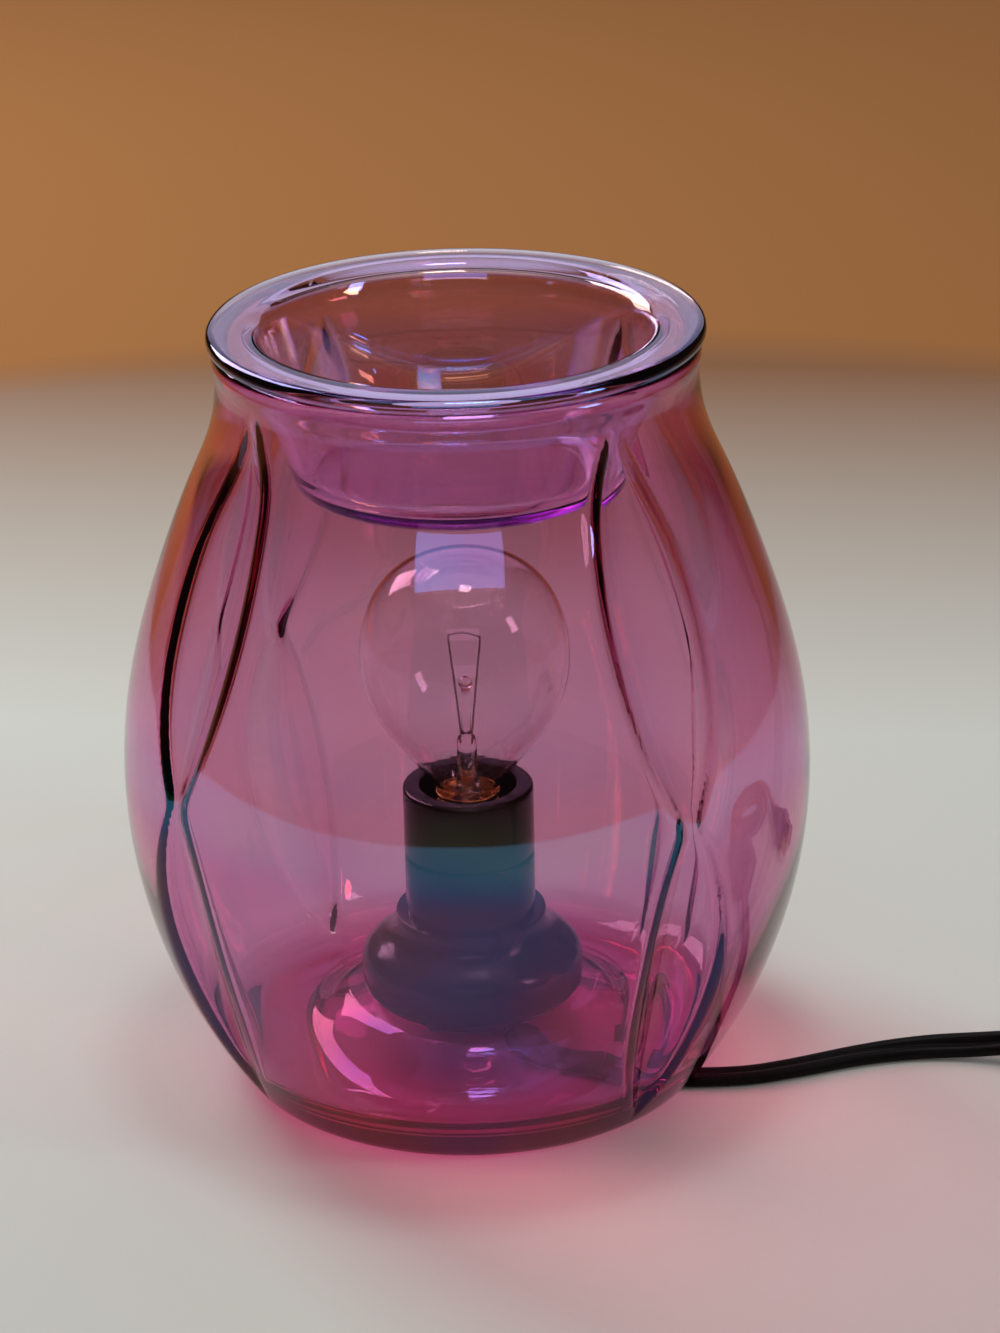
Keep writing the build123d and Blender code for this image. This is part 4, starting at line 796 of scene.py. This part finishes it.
# ---------------------------------------------------------------------------
# Tie.  A hook-and-loop strap of black nylon wound tight round the coil, with
# its free end lapped over the top and pressed down the outer side.
# ---------------------------------------------------------------------------
tie_loop = []
tie_loop += curve((34.0, 0.6), (35.4, 0.6), (36.1, 1.0), (36.1, 2.4), (36.15, 5.0), (36.15, 7.6),
                  (36.1, 10.2), (36.1, 11.4), (35.4, 11.85), (34.0, 11.85), (31.0, 11.9), (29.0, 11.9),
                  (26.2, 11.85), (24.6, 11.8), (24.2, 11.2), (23.8, 10.2))[:-1]
tie_loop += curve((23.8, 10.2), (22.4, 8.4), (20.6, 6.4), (19.0, 4.2), (18.2, 3.0), (18.2, 0.6),
                  (20.4, 0.6))[:-1]
tie_loop += [(20.4, 0.6), (24.0, 0.6), (28.0, 0.6), (31.0, 0.6)]
tie_half = 4.0
tie_sheet = 0.45
lap_in = 0.3
tie_middle_r, tie_middle_z = 28.0, 6.2


def strap(line, closed, half_width):
    """A strip of this line, in mm from the coil's middle, across the coil's section."""
    shape = bmesh.new()
    rim = [shape.verts.new(((coil_x + r) * MM, (coil_y - half_width) * MM, z * MM)) for r, z in line]
    edges = [shape.edges.new(pair) for pair in zip(rim, rim[1:])]
    if closed:
        edges.append(shape.edges.new((rim[-1], rim[0])))
    made = bmesh.ops.extrude_edge_only(shape, edges=edges)["geom"]
    bmesh.ops.translate(shape, vec=(0, 2 * half_width * MM, 0),
                        verts=[part for part in made if isinstance(part, bmesh.types.BMVert)])
    for share in (-0.9, -1 / 3, 1 / 3, 0.9):
        bmesh.ops.bisect_plane(shape, geom=shape.verts[:] + shape.edges[:] + shape.faces[:],
                               plane_co=(0, (coil_y + half_width * share) * MM, 0), plane_no=(0, 1, 0))
    bmesh.ops.recalc_face_normals(shape, faces=shape.faces)
    middle = Vector(((coil_x + tie_middle_r) * MM, coil_y * MM, tie_middle_z * MM))
    if sum(f.normal.dot(f.calc_center_median() - middle) for f in shape.faces) < 0:
        bmesh.ops.reverse_faces(shape, faces=shape.faces)
    return shape


tie_shape = strap(tie_loop, True, tie_half)
lap_line = curve((26.0, 12.4), (29.0, 12.42), (32.0, 12.42), (34.0, 12.38), (35.8, 12.34), (36.55, 11.8),
                 (36.6, 10.2), (36.62, 8.4), (36.62, 6.6), (36.6, 4.8))
lap_shape = strap(lap_line, False, tie_half - lap_in)
lap_mesh = bpy.data.meshes.new("lap")
lap_shape.to_mesh(lap_mesh)
lap_shape.free()
tie_shape.from_mesh(lap_mesh)
bpy.data.meshes.remove(lap_mesh)

# Woven nylon: grey-black with a dull, even sheen.
nylon = moulded("black_nylon_strap", "100f0f", "262425", 0.35, 0.50, 0.9, 0.18)
tie_piece = finish_piece("tie_strap", tie_shape, "warmer", "coil_tie", nylon, 50)
tie_wall = tie_piece.modifiers.new("wall", "SOLIDIFY")
tie_wall.thickness = tie_sheet * MM
tie_wall.offset = 1
tie_wall.use_even_offset = True
tie_edge = tie_piece.modifiers.new("edge", "BEVEL")
tie_edge.width = 0.15 * MM
tie_edge.segments = 2
tie_edge.limit_method = "ANGLE"

# ---------------------------------------------------------------------------
# Small fittings whose shape is right as it is: gaskets, contacts, terminals,
# screws, the switch's case and rocker, and the plug's blades.
# ---------------------------------------------------------------------------
# Rubber cut from sheet: matt and grey-black.
gasket_rubber = moulded("cut_sheet_rubber", "0d0c0c", "232020", 0.55, 0.75, 1.2, 0.3)
# Phenolic inside the holder: duller than the polished outside.
phenolic_matt = moulded("moulded_phenolic_inside", "0a0909", "1b1818", 0.30, 0.45, 3.0, 0.12)
# Stamped brass: warm yellow with an even, slightly rough face.
stamped_brass = metal("stamped_brass", "c4974f", "94703a", 0.22, 0.42, (2500, 2500, 2500), 0.2)
# Blades punched from bright brass: fine lines along them.
bright_blades = metal("bright_brass_blades", "d2b06a", "a88a52", 0.18, 0.34, (400, 5000, 5000), 0.3)
# Blackened steel: dark grey screws with a soft shine.
black_steel = metal("blackened_steel", "4a4a4c", "2c2b2b", 0.30, 0.50, (2000, 2000, 2000), 0.3)
# Tip of solder on the bulb's cap: pale grey, lumpy and half matt.
tinned_solder = metal("soldered_tip", "a9a9a6", "74736f", 0.28, 0.50, (900, 900, 900), 0.6)
# Moulded ABS of the switch's case: black with a fine sparked texture.
switch_abs = moulded("moulded_black_abs", "0c0b0c", "201e1f", 0.34, 0.50, 0.5, 0.22, 0.35)
# Smoother ABS of the rocker, polished by the thumb.
rocker_abs = moulded("polished_black_abs", "080708", "181617", 0.30, 0.42, 4.0, 0.05, 0.25)
# Black glass that insulates the tip: hard and shiny.
insulator_glass = moulded("black_vitrite", "090607", "171213", 0.08, 0.20, 3.0, 0.10)

finishes = {
    gasket_rubber: ["upper_gasket", "lower_gasket", "cord_grip"],
    phenolic_matt: ["contact_carrier", "ring_nut"],
    stamped_brass: ["screw_shell", "shell_rivets", "centre_contact", "terminal_screws", "seesaw_contact",
                    "terminal_common", "terminal_load", "switch_terminal_screws"],
    vinyl: ["lead_cores", "cord_tail", "switch_cores"],
    insulator_glass: ["cap_insulator"],
    tinned_solder: ["tip_contact"],
    bright_blades: ["plug_blades"],
    switch_abs: ["switch_base", "switch_cover"],
    rocker_abs: ["switch_rocker", "switch_plunger"],
    drawn_nickel: ["rocker_pin", "plunger_spring"],
    black_steel: ["cover_screws"],
}
for material, nodes in finishes.items():
    for node in nodes:
        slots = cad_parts[node].material_slots
        if not slots:
            raise RuntimeError("no slot on " + node)
        for one in slots:
            one.material = material
